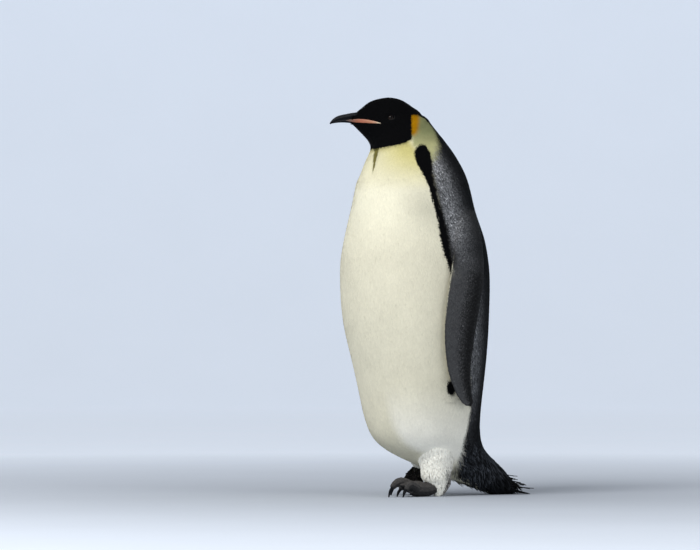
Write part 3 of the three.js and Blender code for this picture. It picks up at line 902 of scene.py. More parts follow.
def leg_colours(spots, colours, seed):
    """Bright white, partly painted light, with a grey-brown fringe at the heel."""
    rng = np.random.default_rng(seed)
    count = len(spots)
    height = spots.point[:, 2] / MM
    rear = ramp(-np.cos(spots.angle), 0.15, 0.6) * ramp(height, 88, 50)
    rear = np.clip(rear + rng.normal(0, 0.35, count) * (rear > 0.03), 0, 1)
    tone = (1 + rng.normal(0, 0.05, count))[:, None]
    # The legs' brighter white is partly painted light.
    white = mixed(colours.white, colours.down, ramp(height, 185, 135)) * tone
    heel = colours.foot * np.exp(rng.normal(0.6, 0.5, count))[:, None]
    return mixed(white, heel * 0.4, rear), mixed(white, heel, rear)


def coat_colours(form, spots, colours, seed):
    """Root and tip colours at the spots, whichever part each is on."""
    roots = np.zeros((len(spots), 3))
    tips = np.zeros((len(spots), 3))
    for part in np.unique(spots.part):
        which = spots.part == part
        own = spots.only(which)
        if part == 0:
            pair = body_colours(form.grid, own, colours, seed)
        elif part in (1, 2):
            pair = flipper_colours(own, colours, seed)
            # At the shoulder the flipper wears the mantle's feathers.
            mantle = body_colours(form.grid, form.on_body(own), colours, seed)
            top = ramp(own.point[:, 2] / MM, 590, 690)
            pair = [mixed(one, other, top) for one, other in zip(pair, mantle)]
        else:
            pair = leg_colours(own, colours, seed)
        roots[which], tips[which] = pair
    return roots, tips


# ---- Materials ----


def new_group(name, inputs, outputs):
    """A node group with its sockets, given as (name, kind, default) and (name, kind)."""
    tree = bpy.data.node_groups.new(name, "ShaderNodeTree")
    for label, kind, default in inputs:
        socket = tree.interface.new_socket(label, in_out="INPUT", socket_type="NodeSocket" + kind)
        socket.default_value = default
    for label, kind in outputs:
        tree.interface.new_socket(label, in_out="OUTPUT", socket_type="NodeSocket" + kind)
    return tree, tree.nodes.new("NodeGroupInput"), tree.nodes.new("NodeGroupOutput")


def noise_of(tree, place, scale):
    inputs = {"Vector": place, "Scale": scale, "Detail": 3.0, "Roughness": 0.55}
    return add_node(tree, "ShaderNodeTexNoise", inputs).outputs["Fac"]


def math_of(tree, operation, *values):
    inputs = dict(enumerate(values))
    return add_node(tree, "ShaderNodeMath", inputs, operation=operation).outputs[0]


def range_of(tree, *values):
    """A value mapped from one range to another: value, from low and high, to low and high."""
    inputs = dict(zip(("Value", "From Min", "From Max", "To Min", "To Max"), values))
    return add_node(tree, "ShaderNodeMapRange", inputs).outputs["Result"]


def scaled_colour(tree, colour, factor):
    inputs = {0: colour, "Scale": factor}
    return add_node(tree, "ShaderNodeVectorMath", inputs, operation="SCALE").outputs["Vector"]


def variation_group():
    """Uneven colour and a fine relief at two scales, for every surface of the bird."""
    found = bpy.data.node_groups.get("Uneven surface")
    if found:
        return found
    tree, source, sink = new_group(
        "Uneven surface",
        (("Color", "Color", (0.5, 0.5, 0.5, 1)), ("Broad Scale", "Float", 30.0),
         ("Fine Scale", "Float", 400.0), ("Contrast", "Float", 0.15)),
        (("Color", "Color"), ("Height", "Float")),
    )
    place = tree.nodes.new("ShaderNodeTexCoord").outputs["Object"]
    broad = noise_of(tree, place, source.outputs["Broad Scale"])
    fine = noise_of(tree, place, source.outputs["Fine Scale"])
    parts = (math_of(tree, "MULTIPLY", *part) for part in ((broad, 0.6), (fine, 0.4)))
    both = math_of(tree, "ADD", *parts)
    low = math_of(tree, "SUBTRACT", 1.0, source.outputs["Contrast"])
    high = math_of(tree, "ADD", 1.0, source.outputs["Contrast"])
    factor = range_of(tree, both, 0.3, 0.7, low, high)
    tree.links.new(scaled_colour(tree, source.outputs["Color"], factor), sink.inputs["Color"])
    tree.links.new(fine, sink.inputs["Height"])
    return tree


def scales_group():
    """Small rounded scales with dark seams, for the feet."""
    found = bpy.data.node_groups.get("Skin scales")
    if found:
        return found
    tree, source, sink = new_group(
        "Skin scales",
        (("Scale", "Float", 300.0), ("Seam", "Float", 0.12)),
        (("Height", "Float"), ("Seam", "Float")),
    )
    place = tree.nodes.new("ShaderNodeTexCoord").outputs["Object"]
    inputs = {"Vector": place, "Scale": source.outputs["Scale"], "Randomness": 0.85}
    cells = add_node(tree, "ShaderNodeTexVoronoi", inputs, feature="DISTANCE_TO_EDGE")
    distance = cells.outputs["Distance"]
    height = range_of(tree, distance, 0.0, 0.35, 0.0, 1.0)
    seam = range_of(tree, distance, 0.0, source.outputs["Seam"], 1.0, 0.0)
    tree.links.new(height, sink.inputs["Height"])
    tree.links.new(seam, sink.inputs["Seam"])
    return tree


def new_material(name, roughness, **constants):
    """A material with its Principled shader, whose constant values are set by name."""
    material = bpy.data.materials.new(name)
    material.use_nodes = True
    tree = material.node_tree
    shader = tree.nodes["Principled BSDF"]
    shader.inputs["Roughness"].default_value = roughness
    for label, value in constants.items():
        shader.inputs[label.replace("_", " ")].default_value = value
    return material, tree, shader


def add_bump(tree, shader, height, strength, distance):
    inputs = {"Height": height, "Strength": strength, "Distance": distance}
    bump = add_node(tree, "ShaderNodeBump", inputs)
    tree.links.new(bump.outputs["Normal"], shader.inputs["Normal"])


def uneven(tree, colour, broad, fine, contrast):
    """The Uneven surface group on a colour, or on the attribute of that name."""
    if isinstance(colour, str):
        colour = add_node(tree, "ShaderNodeAttribute", {}, attribute_name=colour).outputs["Color"]
    else:
        colour = (*colour, 1)
    inputs = {"Color": colour, "Broad Scale": broad, "Fine Scale": fine, "Contrast": contrast}
    node = add_node(tree, "ShaderNodeGroup", inputs, node_tree=variation_group())
    return node.outputs["Color"], node.outputs["Height"]


def surface(name, colour, unevenness, roughness, bump=None, scaly=False, **constants):
    """A material made once: its colour, or the name of a colour attribute, its unevenness as
    broad and fine scale and contrast, its lowest and highest roughness, and its bump."""
    if name in bpy.data.materials:
        return bpy.data.materials[name]
    material, tree, shader = new_material(name, roughness[0], **constants)
    colour, height = uneven(tree, colour, *unevenness)
    shade = range_of(tree, height, 0.3, 0.7, *roughness)
    tree.links.new(shade, shader.inputs["Roughness"])
    if scaly:
        scales = add_node(tree, "ShaderNodeGroup", {}, node_tree=scales_group())
        scales.inputs["Scale"].default_value = 330
        seams = range_of(tree, scales.outputs["Seam"], 0, 1, 1.0, 0.35)
        colour = scaled_colour(tree, colour, seams)
        fine = math_of(tree, "MULTIPLY", height, 0.4)
        height = math_of(tree, "ADD", scales.outputs["Height"], fine)
    tree.links.new(colour, shader.inputs["Base Color"])
    if bump:
        add_bump(tree, shader, height, *bump)
    return material


def plumage(name, roughness, sheen):
    """Feathers, whose colours are in the attribute plume."""
    return surface(
        name, "plume", (16, 900, 0.06), (roughness - 0.06, roughness + 0.08), (0.25, 0.0003),
        Sheen_Weight=sheen, Sheen_Roughness=0.5, Specular_IOR_Level=0.04,
    )


def horn():
    return surface(
        "bill horn", tuple(palette().horn), (60, 700, 0.35), (0.28, 0.46), (0.3, 0.0004),
        Specular_IOR_Level=0.07,
    )


# ---- The forms under the coat ----

SHARED = {}  # the outer form, made once and used by several operators


def eye_frames():
    """For each side the eye's middle and its axes: outward, ahead and up."""
    frames = {}
    for side, sign in SIDES.items():
        low, high = (np.array(corner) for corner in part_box("eye_" + side))
        middle = (low + high) / 2 + EYE_AHEAD * MM * HEAD_AHEAD
        outward = unit(HEAD_LEFT * sign + EYE_LEAN[0] * HEAD_AHEAD + EYE_LEAN[1] * UP)
        ahead = unit(HEAD_AHEAD - HEAD_AHEAD.dot(outward) * outward)
        frames[side] = (middle, outward, ahead, np.cross(ahead, outward) * sign)
    return frames


RAY_START = 0.06  # how far outside the head the rays at an eye start, in metres
EYE_LEAN = (0.07, 0.12)  # how far the eyes look ahead and up
EYE_AHEAD = 2.5
SOCKET = (3.2, 15, 10)  # depth, and half length and half height, in millimetres
BROW = (17, 5.5, 13, 1.6)  # half length, half height, height over the eye, and thickness
FURROW_DEPTH = 4.5
CHIN = (4.6, 0.38)  # how far the chin rises to the bill, and over how many stations
# How far the feathers of the crown and nape stand out, by station, round which angle and
# over what spread of angles.
CREST_AT = (1.8, 2.5, 3.2, 3.5, 3.75, 4.0, 4.3, 4.57, 4.86, 5.05, 5.2, 5.35, 5.57, 5.9, 6.2, 6.6)
CREST = (0, 0.8, 3.0, 3.7, 4.1, 4.0, 2.9, 1.5, 2.3, 3.8, 5.9, 7.0, 5.2, 2.4, 1.0, 0)
CREST_ANGLE = (172, 32)


def dented(grid, points):
    """The body's points with the hollows round the eyes and the furrow down the throat."""
    inward = np.zeros(points.shape[:2])
    for middle, outward, ahead, up in eye_frames().values():
        offset = (points - middle) / MM
        near = (offset @ outward) > -14
        reach = ((offset @ ahead) / SOCKET[1]) ** 2 + ((offset @ up) / SOCKET[2]) ** 2
        inward += SOCKET[0] * np.exp(-reach) * near
        length, height, rise, thick = BROW
        brow = ((offset @ ahead) / length) ** 2 + ((offset @ up - rise) / height) ** 2
        inward -= thick * np.exp(-brow) * near
    station = grid.along
    turned = np.where(grid.angle > math.pi, grid.angle - 2 * math.pi, grid.angle)
    off = np.degrees(turned)[None] - curve(station, *FURROW_MIDDLE)[:, None]
    width = 1.2 + curve(station, *FURROW_HALF)[:, None]
    deep = FURROW_DEPTH * ramp(station, 4.9, 5.4) * ramp(station, 7.4, 6.6)
    inward += deep[:, None] * np.exp(-((off / width) ** 2))
    under = np.clip(np.cos(turned), 0, 1) ** 1.5
    inward += CHIN[0] * np.exp(-((station / CHIN[1]) ** 2))[:, None] * under[None]
    middle, spread = CREST_ANGLE
    beside = np.mod(np.degrees(turned) - middle + 180, 360) - 180
    crest = curve(station, CREST_AT, CREST)[:, None]
    inward -= crest * np.exp(-((beside / spread) ** 2))[None]
    return points - grid.normals * (inward * MM)[:, :, None]


def outer_form():
    if "form" not in SHARED:
        SHARED["form"] = OuterForm()
    return SHARED["form"]


def eye_places(form):
    """For each side the middle of the eyeball and its three axes."""
    tree = tree_of(form.piece)
    places = {}
    for side, (middle, outward, ahead, up) in eye_frames().items():
        floor = tree.ray_cast(Vector(middle + outward * RAY_START), Vector(-outward))[0]
        places[side] = (np.array(floor) - outward * EYE_DEPTH * MM, outward, ahead, up)
    return places


def over_eye(x, y, over):
    """How far out a surface lies that is `over` above the eyeball, off its axis by x and y."""
    flat = np.minimum(np.hypot(x, y), EYE_RADIUS * 0.97)
    return np.sqrt((EYE_RADIUS + over) ** 2 - flat**2)


def put_form_away():
    bpy.data.objects.remove(SHARED.pop("form").piece)


def finish_piece(piece, slot, *materials, replaced=()):
    """The same last steps for every piece: materials, body and replaced nodes. The slot is not used.
    """
    piece.data.materials.clear()
    for material in materials:
        piece.data.materials.append(material)
    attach(piece, "root")
    if replaced:
        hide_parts(*replaced)


# ---- What a user may change ----


def colour_property(name, description, default):
    return bpy.props.FloatVectorProperty(
        name=name, description=description, default=default, size=3, min=0, max=1, subtype="COLOR"
    )


def share_property(name, description, low, high):
    return bpy.props.FloatProperty(
        name=name, description=description + ", against the usual", default=1.0,
        min=low, max=high, subtype="FACTOR",
    )


class PenguinColours(bpy.types.PropertyGroup):
    """Colours of the coat, bill and feet."""

    black: colour_property("Hood", "Head, hood and stripe", (0.0015, 0.0015, 0.0018))
    white: colour_property("Belly", "White of the belly", (0.74, 0.695, 0.535))
    # Brighter than the belly's white: partly the legs' own cooler white and partly painted light.
    down: colour_property("Legs", "Feathers of the legs", (1.0, 0.97, 0.86))
    # The same hue as the belly's white but lighter: painted light on the upper belly. The flippers'
    # inner faces use it too.
    lit_white: colour_property("Cream", "Warm white of the upper belly", (0.86, 0.815, 0.625))
    yellow: colour_property("Breast", "Yellow under the hood", (0.6, 0.535, 0.21))
    # Painted shade inside the fold of the throat.
    fold_shade: colour_property("Throat fold", "Inside of the fold of the throat", (0.17, 0.15, 0.045))
    olive: colour_property("Nape", "Side of the neck behind the orange", (0.195, 0.205, 0.095))
    neck: colour_property("Neck", "Side of the neck over the mantle", (0.45, 0.435, 0.215))
    orange: colour_property("Cheek", "Orange patch behind the hood", (0.36, 0.165, 0.001))
    silver: colour_property("Shoulder", "Feather tips beside the flipper", (0.22, 0.222, 0.227))
    back: colour_property("Back", "Feather tips of the back", (0.006, 0.0068, 0.008))
    slate: colour_property("Flipper", "Outer face of the flippers", (0.071, 0.071, 0.072))
    horn: colour_property("Bill", "Horn of the bill and claws", (0.0065, 0.0072, 0.009))
    plate: colour_property("Bill plate", "Plate along the lower bill", (0.33, 0.097, 0.04))
    foot: colour_property("Feet", "Skin of the feet", (0.055, 0.05, 0.047))


class PenguinCoat(bpy.types.PropertyGroup):
    """How dense, long and loose the feathers are."""

    spacing: share_property("Spacing", "Distance between feathers", 0.7, 3)
    length: share_property("Length", "Length of the feathers", 0.5, 2)
    lift: share_property("Lift", "How far the feathers stand off the skin", 0, 3)
    seed: bpy.props.IntProperty(
        name="Seed", description="Start of the random placing of the feathers", default=11
    )


class PenguinStage(bpy.types.PropertyGroup):
    """Floor and light."""

    floor: colour_property("Floor", "Colour of the floor", (0.52, 0.56, 0.62))
    key: bpy.props.FloatProperty(
        name="Key light", description="Power of the large soft light", default=200.0,
        min=0, unit="POWER",
    )
    sky: bpy.props.FloatProperty(
        name="Sky", description="Strength of the light from all sides", default=0.34, min=0
    )


def palette():
    """The user's colours as arrays."""
    settings = bpy.context.scene.penguin_colours
    names = settings.__annotations__
    return SimpleNamespace(**{name: np.array(getattr(settings, name)) for name in names})


# ---- Operators ----

BODY_FINISH = ("plumage", 0.8, 0.01)
FLIPPER_FINISH = ("flipper plumage", 0.55, 0.05)


class PENGUIN_OT_skin(bpy.types.Operator):
    """Build one skin for the head, neck, body, flippers and legs"""

    bl_idname = "penguin.skin"
    bl_label = "Skin"

    def execute(self, context):
        form = outer_form()
        skin = duplicate(form.piece, "skin")
        spots = form.vertices
        depth = COAT_DEPTH[spots.part]
        inner = spots.point - spots.normal * depth[:, None]
        set_points(skin.data, self.behind_eyes(form, inner))
        drop_attributes(skin.data, "part", "mask")
        roots, tips = coat_colours(form, spots, palette(), 1)
        set_colour(skin.data, "plume", (roots + tips) / 2)
        bpy.ops.object.shade_smooth()
        finish_piece(
            skin, "white_plumage", plumage(*BODY_FINISH),
            replaced=(*BODY_NODES, *PARTS[1:]),
        )
        return {"FINISHED"}

    def behind_eyes(self, form, points):
        """The points with those between the lids drawn in behind the eyeballs."""
        for centre, outward, ahead, up in eye_places(form).values():
            offset = (points - centre) / MM
            x, y, z = offset @ ahead, offset @ up, offset @ outward
            y = y + LID_TILT * x
            between = (np.hypot(x / LIDS_APART[0], y / LIDS_APART[1]) < 1) & (z > 0)
            wanted = over_eye(x, y, 0) - BEHIND_EYE
            deep = np.where(between, np.maximum(z - wanted, 0), 0)
            points = points - np.outer(deep, outward) * MM
        return points


# The coat: name, slot, part, first and last station, side of the mantle's edge, form of the
# feather, spacing, length, width, lift and sunken root in millimetres, and unruliness.
COATS = (
    ("coat_face", "black_plumage", 0, -1, 2.6, "all", SHORT_VANE, 1.7, 5.2, 2.9, 0.4, 1.0, 0.6),
    ("coat_hood", "black_plumage", 0, 2.6, 5.9, "all", SHORT_VANE, 1.9, 7.0, 3.4, 0.5, 1.0, 0.6),
    ("coat_neck", "white_plumage", 0, 5.9, 8.2, "all", LONG_VANE, 2.3, 11, 4.0, 0.5, 1.0, 0.5),
    ("coat_breast", "white_plumage", 0, 8.2, 11.4, "pale", LONG_VANE, 2.8, 17, 5.2, 0.5, 1.0, 0.5),
    ("coat_belly", "white_plumage", 0, 11.4, 20, "pale", LONG_VANE, 3.3, 19, 6.6, 0.6, 1.0, 0.5),
    ("coat_border", "white_plumage", 0, 3, 17, "border", SHORT_VANE, 1.8, 6.2, 3.1, 0.7, 1.0, 0.6),
    ("coat_mantle", "black_plumage", 0, 8.2, 11.6, "dark", LONG_VANE, 2.5, 9.5, 4.2, 0.8, 1.0, 0.8),
    ("coat_back", "black_plumage", 0, 11.6, 15.4, "dark", LONG_VANE, 2.8, 12, 4.8, 1.1, 1.0, 1.0),
    ("coat_rump", "black_plumage", 0, 15.4, 20, "dark", LONG_VANE, 2.9, 44, 3.0, 4.2, 1.0, 1.8),
    *(
        ("coat_" + PARTS[part], "flipper_plumage", part, -1, 999, "all", SHORT_VANE,
         2.1, 6.6, 3.5, 0.4, 0.7, 0.8)
        for part in (1, 2)
    ),
    *(
        ("coat_" + PARTS[part], "white_plumage", part, -1, 999, "all", LONG_VANE,
         2.4, 14, 3.2, 2.8, 1.5, 1.7)
        for part in (3, 4)
    ),
)


RUMP = (15.4, 17.5)  # the stations between which the rump's feathers lengthen
RUMP_START = (14, 5.2, 1.3)  # and their length, width and lift at its start
BARE = (12.6, 8.4)  # half length and half height of the bare skin round an eye
BORDER = 9  # how wide a strip beside the edge of a mark wears fine feathers, in millimetres


def near_a_border(form, station, angle):
    """Which faces lie beside the hood's lower edge, the stripe or the edge of the mantle."""
    spots = form.faces
    wide = np.degrees(BORDER / (np.hypot(spots.point[:, 0], spots.point[:, 1]) / MM + 40))
    stripe = np.abs(angle - curve(station, STRIPE_AT, STRIPE_MIDDLE))
    stripe = np.abs(stripe - curve(station, STRIPE_AT, STRIPE_HALF)) < wide
    stripe &= (station > 6.4) & (station < 12)
    stripe |= (np.abs(station - 6.68) < 0.3) & (np.abs(angle - STRIPE_MIDDLE[0]) < 18)
    mantle = np.abs(angle - curve(station, MANTLE_AT, MANTLE_EDGE)) < wide
    mantle &= (station > 11.5) & (station < 16.6)
    behind, height = form.grid.head_plane(spots)
    hood = np.abs(height - curve(behind, *HOOD_LOWER)) < BORDER
    tuft = tuft_reach(station, angle) < 2.4
    return stripe | mantle | tuft | (hood & (station > 4.2) & (station < 7))


# Where along a feather, in shares of its length, it shows from under its neighbours.
SHOWN = 0.88


class PENGUIN_OT_coat(bpy.types.Operator):
    """Lay the feathers over the skin, in pieces from the bill to the tail"""

    bl_idname = "penguin.coat"
    bl_label = "Feathers"

    def execute(self, context):
        form = outer_form()
        settings = context.scene.penguin_coat
        colours = palette()
        station = form.faces.row / ROWS_PER_STATION
        angle = np.degrees(np.abs(form.faces.angle))
        edge = curve(station, MANTLE_AT, MANTLE_EDGE)
        dark = (angle > edge) | (station > TAIL_STATION)
        border = near_a_border(form, station, angle)
        bare = np.zeros(len(station), bool)
        for middle, _, ahead, up in eye_frames().values():
            offset = (form.faces.point - middle) / MM
            reach = np.hypot((offset @ ahead - 1) / BARE[0], (offset @ up) / BARE[1])
            bare |= (reach < 1) & (np.linalg.norm(offset, axis=1) < 25)
        for step, row in enumerate(COATS):
            name, slot, part, first, last, side, vane, gap, *size, unruly = row
            mask = (form.face_part == part) & (station >= first) & (station < last)
            if part == 0:
                mask &= ~bare
                mask &= border if side == "border" else ~border
            if side in ("dark", "pale"):
                mask &= dark == (side == "dark")
            seed = settings.seed + step
            spots = form.scatter(mask, gap * MM * settings.spacing, seed)
            length, width, lift, sink = (value * MM for value in size)
            if name == "coat_rump":
                # The feathers lengthen from the back to the tail.
                far = ramp(spots.row / ROWS_PER_STATION, *RUMP)
                length, width, lift = (
                    start * MM + (full - start * MM) * far
                    for start, full in zip(RUMP_START, (length, width, lift))
                )
                spots.lie = unit(spots.lie - np.outer(0.8 * far, UP))
            roots, _ = coat_colours(form, spots, colours, seed)
            _, tips = coat_colours(form, form.moved(spots, length * SHOWN), colours, seed)
            rows = len(form.grid.along) if part == 0 else spots.row.max() + 1
            around = np.mod(spots.angle, 2 * math.pi) / (2 * math.pi)
            unwrap = 0.01 + 0.98 * np.stack([around, spots.row / rows], 1)
            size = (length * settings.length, width, lift * settings.lift, sink)
            coat = feather_coat(name, spots, vane, size, unruly, roots, tips, unwrap, seed)
            finish = FLIPPER_FINISH if slot == "flipper_plumage" else BODY_FINISH
            finish_piece(coat, slot, plumage(*finish))
        return {"FINISHED"}


# ---- Tail ----

# The stiff tail feathers spread like a fan from under the rump, in layers from the floor up:
# count, half spread in degrees, length, height of root and tip, and width, in millimetres.
TAIL_LAYERS = (
    (9, 22, 124, 26, 1.4, 9),
    (8, 19, 128, 34, 15, 7.5),
    (8, 18, 112, 43, 30, 6.5),
    (7, 15, 84, 52, 45, 6),
)
TAIL_ROOT = 162
# Across a blade from edge to edge: share of its half width, and rise of its top.
BLADE = ((-1, 0), (-0.55, 0.35), (-0.14, 0.55), (0, 1.2), (0.14, 0.55), (0.55, 0.35), (1, 0))
BLADE_UNDER = 0.4
BLADE_STEPS = 14
SHAFT_SHADE = 0.007


class PENGUIN_OT_tail(bpy.types.Operator):
    """Build the fan of stiff tail feathers"""

    bl_idname = "penguin.tail"
    bl_label = "Tail feathers"

    def execute(self, context):
        rng = np.random.default_rng(context.scene.penguin_coat.seed + 40)
        blades = []
        for layer in TAIL_LAYERS:
            for share in np.linspace(-1, 1, layer[0]):
                blades.append(self.blade(rng, layer, share))
        activate(*blades)
        bpy.ops.object.join()
        tail = active_piece("tail_feathers")
        finish_piece(tail, "black_plumage", plumage("tail plumage", 0.6, 0.02))
        return {"FINISHED"}

    def blade(self, rng, layer, share):
        _, spread, length, root_height, tip_height, width = layer
        turn = math.radians(spread) * share + rng.normal(0, 0.03)
        length = length * (1 - 0.08 * share**2) * rng.uniform(0.86, 1.02)
        raised = tip_height > 5
        tip_height = tip_height * rng.uniform(0.8, 1.15) if raised else tip_height
        along = np.linspace(0, 1, BLADE_STEPS)
        height = tip_height + (root_height - tip_height) * (1 - along) ** 1.3
        height += 6 * (1 - share**2) * np.sin(math.pi * along) ** 1.3
        x = 8 * share + np.sin(turn) * along * length
        y = TAIL_ROOT + np.cos(turn) * along * length
        taper = np.sqrt(1 - ramp(along, 0.55, 1.04))
        half = width / 2 * (0.45 + 0.55 * ramp(along, 0, 0.3)) * taper + 0.25
        lean = -0.35 * share + rng.normal(0, 0.12)
        across = unit(np.array([math.cos(turn), -math.sin(turn), lean]))
        middle = np.stack([x, y, height], 1)
        outline = (*BLADE, *((at, -BLADE_UNDER) for at, _ in BLADE[-2:0:-1]))
        loops = [middle + across * (half * at)[:, None] + UP * rise for at, rise in outline]
        loops = np.stack(loops, 1) * MM
        piece = loft("blade", loops)
        shaft = np.tile(np.arange(loops.shape[1]) == len(BLADE) // 2, BLADE_STEPS)
        shade = np.repeat(0.5 + 0.8 * along, loops.shape[1]) * rng.uniform(0.6, 1.4)
        colour = np.outer(shade, palette().back * 0.3)
        colour[shaft] = SHAFT_SHADE
        set_colour(piece.data, "plume", colour)
        return piece


# ---- Bill ----


def remeshed(name, *nodes, voxel, smooth):
    """A copy of CAD nodes with an even skin of small faces, smoothed."""
    piece = copy_of(name, *nodes)
    apply_modifier(piece, "REMESH", mode="VOXEL", voxel_size=voxel * MM)
    apply_modifier(piece, "SMOOTH", factor=0.5, iterations=smooth)
    bpy.ops.object.shade_smooth()
    return piece


# The plate's red, green and blue against the chosen colour, by distance ahead of the neck's
# upright axis in millimetres: whitish at its rear tip, salmon, orange, and dark in front.
PLATE_AT = (96, 101, 109, 120, 148, 160, 181, 190)
PLATE_TONES = (
    (1.8, 1.8, 1.3, 1.2, 1, 0.82, 0.26, 0.08),
    (5, 5, 2.4, 1.7, 0.97, 0.82, 0.36, 0.13),
    (8.5, 8, 3.5, 2, 1.05, 0.75, 0.5, 0.22),
)


GROOVE = (0.9, 0.56, 0.12)  # depth, and height and half width in shares of the bill's height


def reach_ahead(points):
    """How far ahead of the neck's upright axis the points lie, in the head's own plane."""
    return (points - np.array([0, AXIS_Y * MM, 0])) @ HEAD_AHEAD / MM


class PENGUIN_OT_bill(bpy.types.Operator):
    """Build the upper and lower bill and the coloured plates"""

    bl_idname = "penguin.bill"
    bl_label = "Bill"

    def execute(self, context):
        plate = surface(
            "bill plate", "tint", (80, 900, 0.12), (0.32, 0.5), (0.25, 0.0003), Specular_IOR_Level=0.5
        )
        upper = remeshed("upper_bill", "bill_upper", voxel=0.9, smooth=4)
        lower = remeshed("lower_bill", "bill_lower", voxel=0.9, smooth=4)
        self.close(lower, tree_of(upper))
        self.groove(upper)
        finish_piece(upper, "bill_horn", horn(), replaced=("bill_upper",))
        finish_piece(lower, "bill_horn", horn(), replaced=("bill_lower",))
        for side in SIDES:
            piece = remeshed("plate_" + side, "bill_plate_" + side, voxel=0.6, smooth=2)
            reach = reach_ahead(points_of(piece.data))
            share = np.stack([curve(reach, PLATE_AT, tone) for tone in PLATE_TONES], 1)
            set_colour(piece.data, "tint", np.clip(palette().plate * share, 0, 0.9))
            finish_piece(piece, "bill_plate", plate, replaced=("bill_plate_" + side,))
        return {"FINISHED"}

    def close(self, lower, upper):
        """Raise the top of the lower bill until it meets the upper one."""
        mesh = lower.data
        up = Vector((0, 0, 1))
        moved = {}
        for vertex in mesh.vertices:
            if vertex.normal.z > 0.25:
                hit = upper.ray_cast(vertex.co, up, 9 * MM)
                if hit[0] is not None:
                    moved[vertex.index] = hit[3] + 0.2 * MM
        for index, rise in moved.items():
            mesh.vertices[index].co.z += rise
        mesh.update()

    def groove(self, upper):
        """A shallow groove along each side of the upper bill."""
        mesh = upper.data
        spot = points_of(mesh)
        reach = reach_ahead(spot)
        steps = np.arange(reach.min(), reach.max() + 4, 4)
        near = [np.abs(reach - step) < 3 for step in steps]
        low = curve(reach, steps, [spot[some, 2].min() for some in near])
        high = curve(reach, steps, [spot[some, 2].max() for some in near])
        share = (spot[:, 2] - low) / np.maximum(high - low, 1 * MM)
        fade = ramp(reach, reach.max() - 12, reach.max() - 30)
        deep = GROOVE[0] * fade * np.exp(-(((share - GROOVE[1]) / GROOVE[2]) ** 2))
        set_points(mesh, spot - read(mesh.vertices, "normal") * (deep * MM)[:, None])


# ---- Eyes ----


# The eye's colours from its middle out, and how far off its axis each ends, in millimetres.
PUPIL, IRIS, EYE_RIM = 0.0015, (0.016, 0.008, 0.0045), (0.006, 0.005, 0.005)
PUPIL_EDGE = (4.0, 3.5)
IRIS_EDGE = (8.6, 10.0)
LID_COLOUR = (0.006, 0.0058, 0.0058)
EYE_RADIUS = 12.5
EYE_DEPTH = 11.4  # how far the eye's middle lies in from the socket's floor
# The loops of the lids from the opening out: half length, half height, height over the
# surface, and how far that is the skin's surface rather than the eyeball's.
LID_LOOPS = (
    (9.0, 5.4, -0.7, 0), (9.2, 5.6, 0.3, 0), (9.6, 6.0, 0.8, 0.1), (10.1, 6.4, 0.9, 0.4),
    (10.8, 7.0, 0.7, 0.8), (11.7, 7.7, 0.3, 1), (12.8, 8.5, -0.4, 1), (14.2, 9.6, -1.8, 1),
)
LID_THICK = 0.8
LIDS_APART = (11.8, 7.9)  # half length and half height of the opening drawn in behind the eye
BEHIND_EYE = 1.8  # and how far behind the eyeball's surface the skin lies there
LID_STEP = 2.2  # how far below the skin the edge of the lids lies at most
LID_TILT = 0.17  # how much lower the front corner of the lids lies, against its distance


